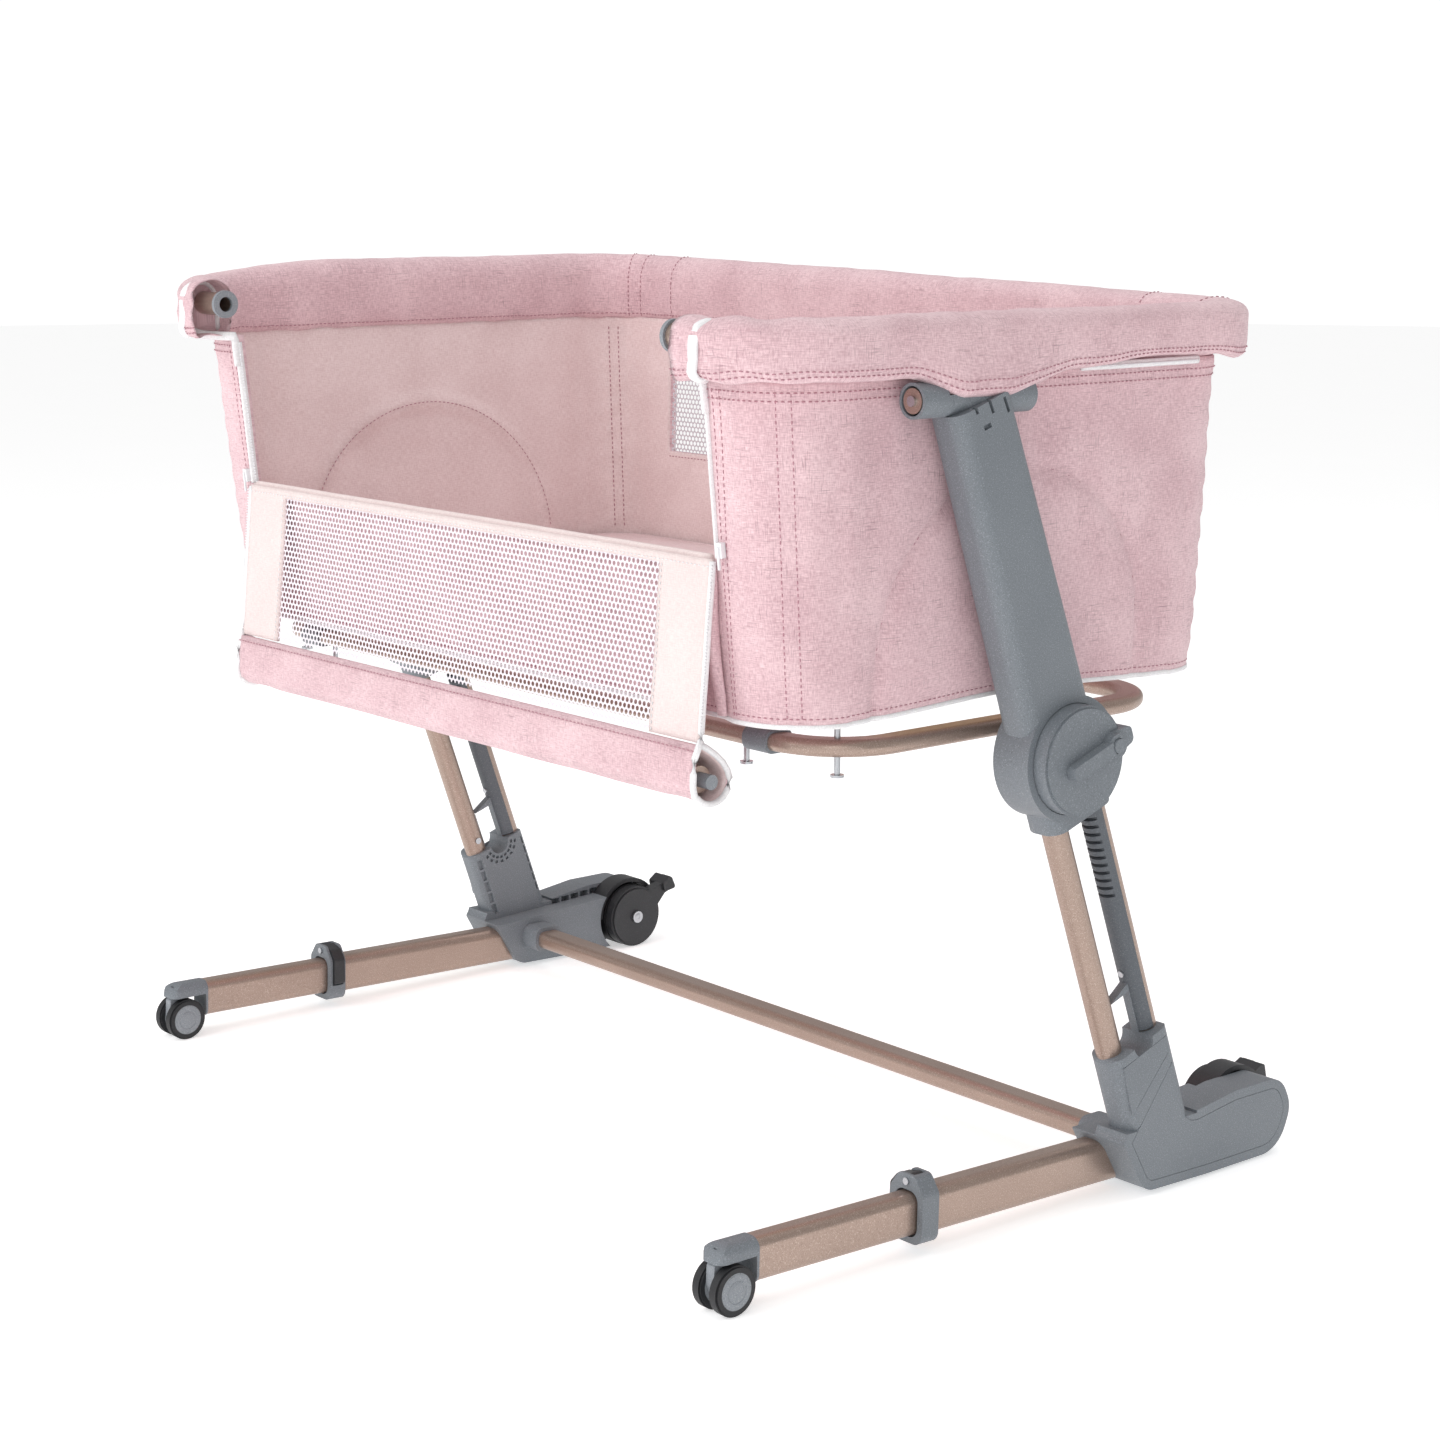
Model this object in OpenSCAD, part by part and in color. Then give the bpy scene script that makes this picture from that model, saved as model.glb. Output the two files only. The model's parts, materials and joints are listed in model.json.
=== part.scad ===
// Bedside bassinet on a height-adjustable stand. Millimetres, +Z up, +X along the length.
// The origin is on the floor, below the middle of the stand. The drop side faces -Y.

/* [Stand] */
// Distance of each foot beam's middle plane from the centre
beam_x = 436; // [410:1:470]
// Distance of each pair of leg tubes from the centre
leg_x = 457.5; // [440:0.5:480]
// Backward lean of the legs, degrees from upright
leg_lean = 19.5; // [12:0.5:24]
// Outer radius of the leg tubes
leg_r = 11; // [9:0.5:13]
// Wall of the metal tubes
tube_wall = 1.5; // [1:0.1:2.5]
// Spacing between the front and rear leg of a pair
leg_pitch = 45; // [40:1:54]
// Length of leg hidden in the boot, below the boot's mouth
leg_seat = 68; // [40:1:70]
// Length of leg from the boot's mouth to its top
leg_reach = 318; // [290:1:330]
// How far an arm can drop down its legs
arm_drop = 138; // [100:1:150]

/* [Foot beams] */
// Width and height of the outer foot beam
outer_beam = [26, 38];
// Wall of the outer foot beam
outer_wall = 1.2; // [1:0.1:2]
// Clearance between the outer and inner beams
beam_gap = 0.3; // [0.2:0.05:0.6]
// Upward slope of the foot beams towards the front, degrees
beam_rise = 1.4; // [0:0.1:3]
// Height of the beam's axis at the mouth of the boot
beam_z = 27.2; // [26:0.1:34]
// Length of outer beam in front of the boot
outer_beam_len = 205; // [150:1:240]
// Length of the inner beam
inner_beam_len = 270; // [200:1:300]
// Distance from the boot's mouth to the toe cap, right foot
right_toe_out = 380.5; // [300:0.5:395]
// Distance from the boot's mouth to the toe cap, left foot
left_toe_out = 355; // [300:0.5:395]
// Radius of the front rollers
roller_r = 20; // [16:0.5:24]
// Width of one front roller
roller_w = 10; // [9:0.5:11]

/* [Rear wheels] */
// Radius of the rear wheels
wheel_r = 34; // [28:0.5:38]
// Width of a rear wheel
wheel_w = 20; // [14:0.5:22]
// Radius of the rear axles
axle_r = 4; // [3:0.25:5]
// Angle of the brake pedals above the horizontal, right and left
pedal_angle = [20, 31]; // [5:1:40]
// Depth position of the rear axles
axle_y = 271; // [262:0.5:286]

/* [Cross tube] */
// Width and height of the cross tube
cross_size = [27, 18];
// Depth position of the cross tube
cross_y = 140.5; // [134:0.5:156]
// Height of the cross tube's axis
cross_z = 34; // [30:1:40]

/* [Arms] */
// Depth position of the release knobs
knob_y = 21.5; // [10:0.5:40]
// Height of the release knobs
knob_z = 388; // [340:1:420]
// Radius of the release knobs
knob_r = 45; // [38:0.5:48]
// Radius of the housing round the knob
housing_r = 52; // [46:1:58]
// Distance along the leg from the knob to the basket's pivot
arm_len = 312; // [260:1:340]
// Inner face of the arm, from the centre
arm_in = 436; // [432:0.5:440]
// Outer face of the arm, from the centre
arm_out = 474; // [470:0.5:482]
// Width of the arm at the housing and at the top
arm_w = [76, 65];
// Running clearance round the legs inside the housing
leg_gap = 0.3; // [0.2:0.05:0.6]
// Outer radius of the pivot barrel
barrel_r = 14; // [13:0.5:16]
// Length of the pivot barrel
barrel_len = 122; // [100:1:140]
// Radius of the basket's pivot tubes
pivot_r = 10; // [8:0.25:11]
// Radial clearance of the pivot that carries the swing
pivot_fit = 0.08; // [0.05:0.01:0.1]
// Radial clearance of the other pivot, which rides up and down with its arm
open_fit = 1.6; // [1.2:0.1:2]

/* [Basket] */
// Half length of the rim tube's middle line
rim_x = 440; // [420:1:450]
// Depth position of the rim tube's front ends
rim_front = -275.5; // [-285:0.5:-266]
// Depth position of the rim tube's back rail
rim_back = 274.5; // [264:0.5:286]
// Height of the rim tube
rim_z = 731; // [722:1:740]
// Radius of the rim tube
rim_r = 10.75; // [9:0.25:12]
// Bend radius of the rim tube's front corners
rim_front_bend = 85; // [70:1:95]
// Bend radius of the rim tube's back corners
rim_back_bend = 70; // [55:1:90]
// Half distance between the rim tube's two front ends
stub_x = 332; // [325:1:340]
// Thickness of the padded rim cover across the tube
rim_pad = 42; // [34:1:44]
// Height of the padded rim cover
rim_pad_h = 60; // [40:1:64]
// Half length of the tub at its bottom
tub_bottom_x = 416; // [400:1:418]
// Depth of the tub's front and back walls at the bottom
tub_bottom_y = [-226.5, 263.5];
// Height of the tub's bottom
tub_z = 430; // [424:1:436]
// Thickness of the tub's padded walls
tub_wall = 10; // [6:0.5:12]
// Half width of the drop-side opening
opening_x = 346; // [343:0.5:350]
// Thickness of the mattress
mattress_t = 27; // [20:1:35]

/* [Drop side] */
// Depth position of the fold line
fold_y = -245; // [-248:0.5:-244.5]
// Height of the fold line
fold_z = 559; // [550:1:570]
// Angle at which the drop-side rail hangs, outwards from straight below the fold
hang_angle = 1; // [0.5:0.5:4]
// Outward slope of the drop-side panel
panel_slope = 5; // [4:0.5:6]
// Half width of the drop-side fabric
flap_x = 343; // [335:0.5:344]
// Half thickness of the padded sleeve round the drop-side rail
roll_r = 17.5; // [16:0.5:19]

/* [Lower frame] */
// Half length of the lower frame's middle line
frame_x = 407; // [395:1:408]
// Depth of the lower frame's front and back runs
frame_y = [-178.5, 200.5];
// Height of the lower frame's middle line
frame_z = 408; // [404:1:412]
// Width and height of the lower frame's tube
frame_tube = [24, 14];
// Bend radius of the lower frame's corners
frame_bend = 62; // [50:1:90]

/* [Hidden] */
$fn = 48;
step = 0.3;                      // gap between pieces of different bodies
fit = 0.05;                      // radial clearance of a wheel on its axle
lean_c = cos(leg_lean);
lean_s = sin(leg_lean);
mouth_w = -268;                  // boot's mouth, along the leg from the knob
leg_low = mouth_w - leg_seat;
leg_high = mouth_w + leg_reach;
inner_beam = outer_beam - [1, 1] * 2 * (outer_wall + beam_gap);
boot_y = 94.5;                    // beam's mouth in the boot
boot_in = 418;                   // inner face of the boot's beam housing
boot_mid = 443;                  // inner face of the boot's leg plate
boot_out = 477;                  // outer face of the boot
cover_t = 1.2;                   // thickness of the boot's outer panel
clamp_len = 18;                  // length of the clamp collar along the beam
clamp_wall = 6;
clamp_side = -outer_beam.x / 2 - clamp_wall;
cheek = 2.6;                       // thickness of the collar's two cheeks
clamp_pin = [0, outer_beam.y / 2 + 7];
clamp_knuckle = 5.6;              // radius of the lever's barrel
clamp_floor = outer_beam.y / 2 + 1.4;
clamp_y = -outer_beam_len + 7;   // collar's rear face, from the boot's mouth
cap_len = 40;                    // length of the toe cap
cap_skin = 0.8;                  // how far the cap stands proud of the inner beam
stem_back = 30;                  // castor's stem, in front of the toe cap's rear face
stem_r = 4;
trail = 5;                       // axle behind the stem
roller_split = 10;               // gap between a pair of rollers
castor_room = 2 * roller_r + 1.8; // height of the toe cap's underside
wheel_in = 421;                  // inner face of the rear wheel
drum = [407, 419.6];             // brake drum's two faces
pedal_reach = 62;
guard = [wheel_r + 2.5, wheel_r + 7];
leg_screw_r = 1.8;               // radius of the leg screws' shanks
tooth_pitch = 7.2;
tooth_count = 20;
knob_out = 488.5;                // outer face of the knob
pawl_free = 0.6;                 // gap between the pawl and the rack at rest
barrel_y = knob_y - arm_len * lean_s - 60;
pivot_z = knob_z + arm_len * lean_c;
tub_top = rim_z - 33;            // top edge of the tub's walls
tub_top_y = [rim_front + 19, rim_back - 7];
pad_low = tub_top + 0.4;           // lower edge of the rim cover
pad_x0 = 366;                    // front end of the rim cover on each side
swing_r = norm([rim_front - fold_y, rim_z - fold_z]);
rail_y = fold_y - swing_r * sin(hang_angle);
rail_z = fold_z - swing_r * cos(hang_angle);
rail_x = stub_x - 1;             // half length of the drop-side rail
plunger_r = 6;
roll_rise = 30;                  // top of the sleeve above its rail
panel_t = 3;
panel_drop = (fold_z - rail_z - roll_rise - step) / cos(panel_slope) - panel_t / 2;
ring_t = 4;
stud_x = 306;                    // studs of the lower frame's front and back runs
bracket_len = 28;                // joint piece of the lower frame, beside its front bend

// ---------- helpers ----------

function unit(v) = v / norm(v);
function lean(v, w) = [knob_y + v * lean_c - w * lean_s, knob_z + v * lean_s + w * lean_c];

// Points of an arc of radius r that rounds the corner c between the points p and n
function corner_arc(p, c, n, r) =
    let (a = unit(p - c), b = unit(n - c), half = acos(a * b) / 2,
         mid = c + unit(a + b) * r / sin(half), s = c + a * r / tan(half) - mid,
         e = c + b * r / tan(half) - mid, a0 = atan2(s.y, s.x), turn = atan2(e.y, e.x) - a0,
         sweep = turn > 180 ? turn - 360 : turn < -180 ? turn + 360 : turn)
    [for (i = [0:8]) mid + r * [cos(a0 + sweep * i / 8), sin(a0 + sweep * i / 8)]];

// Outline whose corners, given as [x, y, radius], are rounded
function rounded(c) =
    [for (i = [0:len(c) - 1])
        let (p = c[(i + len(c) - 1) % len(c)], q = c[i], n = c[(i + 1) % len(c)])
        each q[2] == 0 ? [[q.x, q.y]] : corner_arc([p.x, p.y], [q.x, q.y], [n.x, n.y], q[2])];

// Rectangle with rounded corners, centred
module rrect(size, r) {
    square([size.x - 2 * r, size.y], center = true);
    square([size.x, size.y - 2 * r], center = true);
    for (x = [-1, 1], y = [-1, 1])
        translate([x * (size.x / 2 - r), y * (size.y / 2 - r)]) circle(r);
}

// Extrudes a (y, z) outline from x0 to x1
module along_x(x0, x1) translate([x0, 0, 0]) rotate([90, 0, 90]) linear_extrude(x1 - x0) children();

// Extrudes an (x, z) outline from y0 to y1
module along_y(y0, y1) translate([0, y1, 0]) rotate([90, 0, 0]) linear_extrude(y1 - y0) children();

module rod_x(x0, x1, r) translate([x0, 0, 0]) rotate([0, 90, 0]) cylinder(h = x1 - x0, r = r);
module rod_y(y0, y1, r) translate([0, y1, 0]) rotate([90, 0, 0]) cylinder(h = y1 - y0, r = r);

module ring_x(x0, x1, r_out, r_in) difference() {
    rod_x(x0, x1, r_out);
    rod_x(x0 - 1, x1 + 1, r_in);
}

// Places what is modelled for the right-hand side on the side s, 1 or -1
module on_side(s) { if (s > 0) children(); else mirror([1, 0, 0]) children(); }
module both_sides() for (s = [1, -1]) on_side(s) children();

// Leg frame: z runs up the leg from the knob, y across the pair of legs
module leg_frame() translate([0, knob_y, knob_z]) rotate([leg_lean, 0, 0]) children();

// Beam frame: y runs along the foot beam from the boot's mouth, x and z across it
module beam_frame() translate([beam_x, boot_y, beam_z]) rotate([-beam_rise, 0, 0]) children();

// Centre of the rear wheels
module at_axle() translate([0, axle_y, wheel_r]) children();

// ---------- stand ----------

// Side view of the boot: leg socket, foot and the lobe that covers the wheel
boot_outline = rounded([
    [each lean(-leg_pitch / 2 - 13, mouth_w), 6], [lean(-36, -322).x, 58, 12], [boot_y - 5, 52, 3],
    [boot_y + 22, 5, 20], [boot_y + 100, 3, 60], [axle_y + 20, 3, 34], [axle_y + 36, 40, 24],
    [axle_y + 22, 69, 24], [axle_y - 40, 69, 30], [lean(33, -358).x, 61, 13],
    [each lean(leg_pitch / 2 + 13, mouth_w), 6]]);

// Part of the boot's side view that belongs to the foot
foot_outline = rounded([
    [boot_y - 5, 60, 0], [boot_y - 5, 0, 0], [axle_y + 60, 0, 0], [axle_y + 60, 90, 0],
    [axle_y - 90, 90, 0], [axle_y - 90, 60, 0]]);

module boot() color("slategray") difference() {
    union() {
        intersection() {
            along_x(boot_mid, boot_out) polygon(boot_outline);
            union() {
                along_x(boot_mid, boot_out) polygon(foot_outline);
                leg_frame() translate([(boot_mid + boot_out) / 2, 0, leg_low - 60])
                    linear_extrude(200) rrect([boot_out - boot_mid, leg_pitch + 26], 13);
            }
        }
        // housing round the beam, deeper than the leg plate
        along_x(boot_in, boot_mid) intersection() {
            polygon(boot_outline);
            polygon(rounded([[boot_y - 5, 52, 0], [boot_y + 22, 3, 0], [axle_y - 20, 3, 0],
                             [axle_y - 20, 60, 6], [boot_y + 12, 52, 20]]));
        }
        // thin web between the legs
        leg_frame() translate([leg_x - 4, -leg_pitch / 2, mouth_w - 10]) intersection() {
            cube([8, leg_pitch, 60]);
            rotate([18, 0, 0]) translate([-1, -20, -40]) cube([10, 100, 84]);
        }
        // collar for the cross tube
        translate([0, cross_y, cross_z]) along_x(boot_in - 24, boot_in + 1) rrect(cross_size + [8, 8], 10);
    }
    // notch between the legs, round at its foot
    leg_frame() for (x = [boot_mid - 1, leg_x + 4]) translate([x, 0, mouth_w]) {
        rod_x(0, 40, leg_pitch / 2 - leg_r);
        translate([0, -leg_pitch / 2 + leg_r, 0]) cube([40, leg_pitch - 2 * leg_r, 40]);
    }
    leg_sockets();
    beam_frame() along_y(-20, 52) rrect(outer_beam, 9);
    translate([0, cross_y, cross_z]) along_x(boot_in - 40, beam_x - outer_beam.x / 2 + 1.4)
        rrect(cross_size, 7);
    // room for the wheel on the inner side
    at_axle() rod_x(boot_in - 1, boot_mid + 0.4, guard[1] + 0.6);
    at_axle() rod_x(boot_mid - 1, boot_mid + 14, axle_r);
    // seat of the outer panel
    along_x(boot_out - cover_t, boot_out + 1) offset(delta = -8) polygon(boot_outline);
    rib_pockets();
}

// Bores and seats for the two legs
module leg_sockets() leg_frame() for (v = [-1, 1])
    translate([leg_x, v * leg_pitch / 2, leg_low]) cylinder(h = 200, r = leg_r);

// Shallow moulded pockets on the boot's inner face
module rib_pockets() {
    // down the front edge
    leg_frame() for (i = [0:4]) translate([boot_mid - 1, -leg_pitch / 2 - 9, mouth_w - 18 - 13.5 * i])
        cube([5, 4.5, 11]);
    // down the rear edge
    leg_frame() for (i = [0:5]) translate([boot_mid - 1, leg_pitch / 2 + 5, mouth_w - 16 - 11.5 * i])
        cube([5, 2.4, 9]);
    // round the notch
    leg_frame() translate([boot_mid - 1, 0, mouth_w]) for (a = [-160:20:-20], r = [14, 19])
        rotate([a, 0, 0]) translate([0, r, -1.8]) cube([3, 3, 3.6]);
    // along the top of the foot
    for (i = [0:4]) translate([boot_mid - 1, axle_y - 90 + 13 * i, 54.5 + 0.9 * i])
        cube([10, 10.5, 7]);
}

module boot_cover() color("slategray") difference() {
    along_x(boot_out - cover_t, boot_out) offset(delta = -8.4) polygon(boot_outline);
    leg_sockets();
}

module outer_beam_tube() color("rosybrown") beam_frame() along_y(-outer_beam_len, 52) difference() {
    rrect(outer_beam, 9);
    rrect(outer_beam - [1, 1] * 2 * outer_wall, 9 - outer_wall);
}

module cross_tube() color("rosybrown") translate([0, cross_y, cross_z])
    along_x(-beam_x + outer_beam.x / 2, beam_x - outer_beam.x / 2) difference() {
        rrect(cross_size, 7);
        rrect(cross_size - [1, 1] * 2 * tube_wall, 7 - tube_wall);
    }

// House-shaped collar with two cheeks that hold the lever's pin
module clamp_collar() color("darkgray") beam_frame() difference() {
    along_y(clamp_y - clamp_len, clamp_y) polygon(rounded([
        [-outer_beam.x / 2 - clamp_wall, -outer_beam.y / 2 - 5, 10],
        [outer_beam.x / 2 + clamp_wall, -outer_beam.y / 2 - 5, 10],
        [outer_beam.x / 2 + clamp_wall, outer_beam.y / 2 - 1, 8], [9, clamp_pin.y + 6, 6],
        [-9, clamp_pin.y + 6, 6], [-outer_beam.x / 2 - clamp_wall, outer_beam.y / 2 - 1, 8]]));
    along_y(clamp_y - clamp_len - 1, clamp_y + 1) rrect(outer_beam, 9);
    // slot for the lever
    along_y(clamp_y - clamp_len + cheek, clamp_y - cheek) {
        translate(clamp_pin) circle(clamp_knuckle + 0.4);
        translate([-40, clamp_floor]) square([46, 40]);
        translate([-40, -8]) square([40 - outer_beam.x / 2 - 2, 60]);
    }
    translate([0, 0, clamp_pin.y]) rod_y(clamp_y - clamp_len - 1, clamp_y + 1, 2);
}

module clamp_pins() color("silver") {
    on_side(1) clamp_pin_rod();
    on_side(-1) clamp_pin_rod();
}

module clamp_pin_rod() beam_frame() translate([0, 0, clamp_pin.y]) {
    rod_y(clamp_y - clamp_len - 0.8, clamp_y + 0.8, 2);
    for (y = [clamp_y - clamp_len - 1.6, clamp_y]) rod_y(y, y + 1.6, 3);
}

// Lever: a barrel on the pin and a tail that lies down the collar's inner side
module clamp_lever() color("dimgray") beam_frame() difference() {
    along_y(clamp_y - clamp_len + cheek + 0.4, clamp_y - cheek - 0.4) {
        translate(clamp_pin) circle(clamp_knuckle);
        polygon(rounded([[-2, clamp_pin.y + 5.2, 0], [-14, clamp_pin.y + 2.6, 5],
            [clamp_side - 3, clamp_floor - 1, 6], [clamp_side - 4, -6, 2], [clamp_side + 0.5, -6, 1.5],
            [clamp_side + 1.6, clamp_floor + 0.6, 2], [-5, clamp_floor + 0.6, 0]]));
    }
    translate([0, 0, clamp_pin.y]) rod_y(clamp_y - clamp_len, clamp_y, 2 + fit);
    // finger notches
    for (i = [-1:1]) translate([3, clamp_y - clamp_len / 2 + 3.4 * i - 0.9, clamp_pin.y + 2.4])
        cube([10, 1.8, 3]);
}

module front_leg() color("rosybrown") leg_frame() translate([leg_x, -leg_pitch / 2, leg_low]) difference() {
    cylinder(h = leg_high - leg_low, r = leg_r);
    translate([0, 0, -1]) cylinder(h = leg_high - leg_low + 2, r = leg_r - tube_wall);
    translate([0, 0, mouth_w + 14 - leg_low]) rod_x(-leg_r - 1, 0, leg_screw_r);
}

// Rear leg: a channel, open to the front, that holds the height rack
module rear_leg() color("rosybrown") leg_frame() translate([leg_x, leg_pitch / 2, leg_low]) difference() {
    cylinder(h = leg_high - leg_low, r = leg_r);
    translate([0, 0, -1]) cylinder(h = leg_high - leg_low + 2, r = leg_r - tube_wall);
    translate([-leg_r - 1, -leg_r - 1, mouth_w - leg_low]) cube([2 * leg_r + 2, leg_r + 2, leg_reach + 1]);
}

module height_rack() color("slategray") leg_frame() translate([leg_x, leg_pitch / 2, 0]) difference() {
    intersection() {
        translate([0, 0, mouth_w + 1]) cylinder(h = leg_reach - 2, r = leg_r);
        translate([-leg_r, -leg_r, mouth_w]) cube([2 * leg_r, leg_r + 1, leg_reach]);
    }
    translate([0, 0, mouth_w]) difference() {
        cylinder(h = leg_reach, r = leg_r + 1);
        cylinder(h = leg_reach, r = leg_r - tube_wall);
        translate([-leg_r - 2, -leg_r - 2, 0]) cube([2 * leg_r + 4, leg_r + 3, leg_reach]);
    }
    // latch grooves, from the highest setting down
    for (i = [0:tooth_count - 1]) translate([-leg_r, -leg_r - 1, -tooth_pitch * i - 1.5])
        cube([2 * leg_r, 6.5, 3]);
}

module leg_screw() {
    // through the front leg's foot, seen on the inner face
    leg_frame() translate([0, -leg_pitch / 2, mouth_w + 14]) {
        rod_x(leg_x - leg_r - 1.6, leg_x - leg_r, 3.4);
        rod_x(leg_x - leg_r - 0.4, leg_x - leg_r + tube_wall + 3, leg_screw_r);
    }
    // into the rack's foot, above the web
    leg_frame() translate([leg_x, leg_pitch / 2 - leg_r - 1.2, mouth_w + 56]) rotate([-90, 0, 0])
        cylinder(h = 1.2, r = 3);
}

module wheel_guard() color("black") at_axle() difference() {
    rod_x(wheel_in, boot_mid + 0.4, guard[1]);
    rod_x(wheel_in - 1, boot_mid + 1, guard[0]);
    translate([wheel_in - 1, -60, -60]) cube([30, 120, 60]);
    rotate([28, 0, 0]) translate([wheel_in - 1, 0, -60]) cube([30, 60, 60]);
}

module rear_axle() color("silver") at_axle() {
    rod_x(drum[0] - 0.2, boot_mid + 12, axle_r);
    rod_x(drum[0] - 3.2, drum[0] - 0.2, 6.5);
}

module rear_wheel() color("black") at_axle() difference() {
    rod_x(wheel_in, wheel_in + wheel_w, wheel_r);
    rod_x(wheel_in - 1, wheel_in + wheel_w + 1, axle_r + fit);
    // dished sides
    for (x = [wheel_in - 1, wheel_in + wheel_w - 3]) ring_x(x, x + 4, wheel_r - 7, 9);
}

function pedal_tilt(s) = pedal_angle[s > 0 ? 0 : 1];

// Brake: a drum face on the axle with a pedal that is pressed down
module brake_pedal(s) color("#2b2b2e") at_axle() difference() {
    union() {
        rod_x(drum[0] + 2, drum[1], wheel_r - 0.5);
        rod_x(drum[0], drum[0] + 3, wheel_r - 3);
        rotate([pedal_tilt(s), 0, 0]) along_x(drum[0] + 1, drum[1]) polygon(rounded([
            [0, -9, 4], [20, -12, 10], [pedal_reach - 16, -4, 6], [pedal_reach, -7, 3],
            [pedal_reach, 9, 3], [pedal_reach - 14, 8, 6], [22, 16, 12], [0, 12, 4]]));
        rotate([pedal_tilt(s), 0, 0]) along_x(drum[0] - 2, drum[0] + 24) polygon(rounded([
            [pedal_reach - 17, -1, 2], [pedal_reach - 2, -7, 2.5], [pedal_reach, 9, 3],
            [pedal_reach - 14, 8, 3]]));
    }
    rod_x(drum[0] - 3, drum[1] + 1, axle_r + fit);
}

// ---------- toes ----------

function toe_out(s) = s > 0 ? right_toe_out : left_toe_out;

module inner_beam_tube(s) color("rosybrown") beam_frame()
    along_y(-toe_out(s), -toe_out(s) + inner_beam_len) difference() {
        rrect(inner_beam, 8);
        rrect(inner_beam - [1, 1] * 2 * tube_wall, 8 - tube_wall);
    }

module toe_frame(s) beam_frame() translate([0, -toe_out(s), 0]) children();

// Castor frame: upright, at the stem, on the floor
module at_castor(s)
    translate([beam_x, boot_y - (toe_out(s) + stem_back) * cos(beam_rise), 0]) children();

module toe_cap(s) color("slategray") difference() {
    toe_frame(s) union() {
        intersection() {
            along_y(-cap_len, 0) rrect(inner_beam + [2, 2] * cap_skin, 8 + cap_skin);
            along_x(-30, 30) polygon(rounded([[0, -30, 0], [-cap_len, -30, 0],
                [-cap_len, inner_beam.y / 2 + cap_skin, 17], [0, inner_beam.y / 2 + cap_skin, 0]]));
            translate([0, 0, -30]) linear_extrude(60) polygon(rounded([[-30, 0, 0],
                [-inner_beam.x / 2 - cap_skin, 0, 0], [-inner_beam.x / 2 - cap_skin, -cap_len, 9],
                [inner_beam.x / 2 + cap_skin, -cap_len, 9], [inner_beam.x / 2 + cap_skin, 0, 0],
                [30, 0, 0]]));
        }
        along_y(0, 25) rrect(inner_beam - [1, 1] * (2 * tube_wall + 0.2), 8 - tube_wall);
    }
    // room for the castor to swivel below, and its stem's bore
    at_castor(s) {
        translate([0, 0, castor_room - 60]) cylinder(h = 60, r = stem_back + 0.2);
        cylinder(h = castor_room + 10, r = stem_r + fit);
    }
}

module castor_fork(s) color("gainsboro") at_castor(s) {
    along_x(-roller_split / 2 + 0.4, roller_split / 2 - 0.4) polygon(rounded([
        [-8, castor_room - 1, 3], [-9, roller_r + 4, 8], [trail - 8, roller_r - 11, 6],
        [trail + 8, roller_r - 11, 6], [trail + 13, roller_r + 6, 8], [10, castor_room - 1, 3]]));
    translate([0, 0, castor_room - 1]) cylinder(h = 0.6, r = 7);
    translate([0, 0, castor_room - 0.5]) cylinder(h = 9.5, r = stem_r);
    translate([0, trail, roller_r])
        rod_x(-roller_split / 2 - roller_w + 2, roller_split / 2 + roller_w - 2, 3);
}

module rollers(s) color("#232324") at_castor(s) translate([0, trail, roller_r]) for (x = [-1, 1])
    difference() {
        translate([x > 0 ? roller_split / 2 : -roller_split / 2 - roller_w, 0, 0]) {
            rod_x(1.5, roller_w - 1.5, roller_r);
            rod_x(0, roller_w, roller_r - 1.5);
        }
        rod_x(-roller_split / 2 - roller_w + 1.5, roller_split / 2 + roller_w - 1.5, 3 + fit);
    }

// ---------- arms ----------

module arm(s) color("lightslategray") difference() {
    union() {
        leg_frame() hull() {
            translate([0, 0, 20]) arm_slab(arm_w[0]);
            translate([0, 0, arm_len - 4]) arm_slab(arm_w[1]);
        }
        leg_frame() {
            rod_x(arm_in, arm_out, housing_r);
            translate([0, 0, -housing_r - 2]) arm_slab(arm_w[0] - 3, 56);
        }
        translate([0, barrel_y, pivot_z]) barrel_frame() rod_y(0, barrel_len, barrel_r);
    }
    // the legs run up inside
    leg_frame() for (v = [-1, 1]) translate([leg_x, v * leg_pitch / 2, -housing_r - 20])
        cylinder(h = leg_high + arm_drop + housing_r + 22, r = leg_r + leg_gap);
    // hollow between them
    leg_frame() translate([leg_x - 9, -leg_pitch / 2 + 6, -housing_r + 6])
        cube([18, leg_pitch - 12, arm_len - 22]);
    // pivot's bore and the window for its bracket
    translate([leg_x - 2.5, barrel_y, pivot_z]) {
        rod_y(-1, barrel_len + 1, pivot_r + (s > 0 ? open_fit : pivot_fit));
        translate([-30, barrel_len / 2 - 34, 4]) cube([60, 68, 30]);
    }
    // seat of the knob
    leg_frame() rod_x(arm_out - 4, arm_out + 1, knob_r + 0.6);
    leg_frame() rod_x(leg_x + 6, arm_out, 9.4);
    // moulded slots and a drain hole near the barrel
    for (i = [0:3]) translate([arm_out - 5.4, barrel_y + 33 + 17 * i, pivot_z - 12]) rotate([25, 0, 0])
        cube([6, 3, 13]);
    leg_frame() translate([arm_out - 3, -9, arm_len - 23]) cube([5, 8, 4]);
    // path of the pawl
    leg_frame() translate([leg_x - 6, -leg_pitch / 2 + leg_r + 1, -12.3]) cube([12, leg_pitch, 24.6]);
}

module barrel_frame() translate([leg_x - 2.5, 0, 0]) children();

// Rounded cross section of the arm, w wide and h high
module arm_slab(w, h = 1) linear_extrude(h) translate([(arm_in + arm_out) / 2, 0])
    rrect([arm_out - arm_in, w], 14, $fn = 32);

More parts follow.
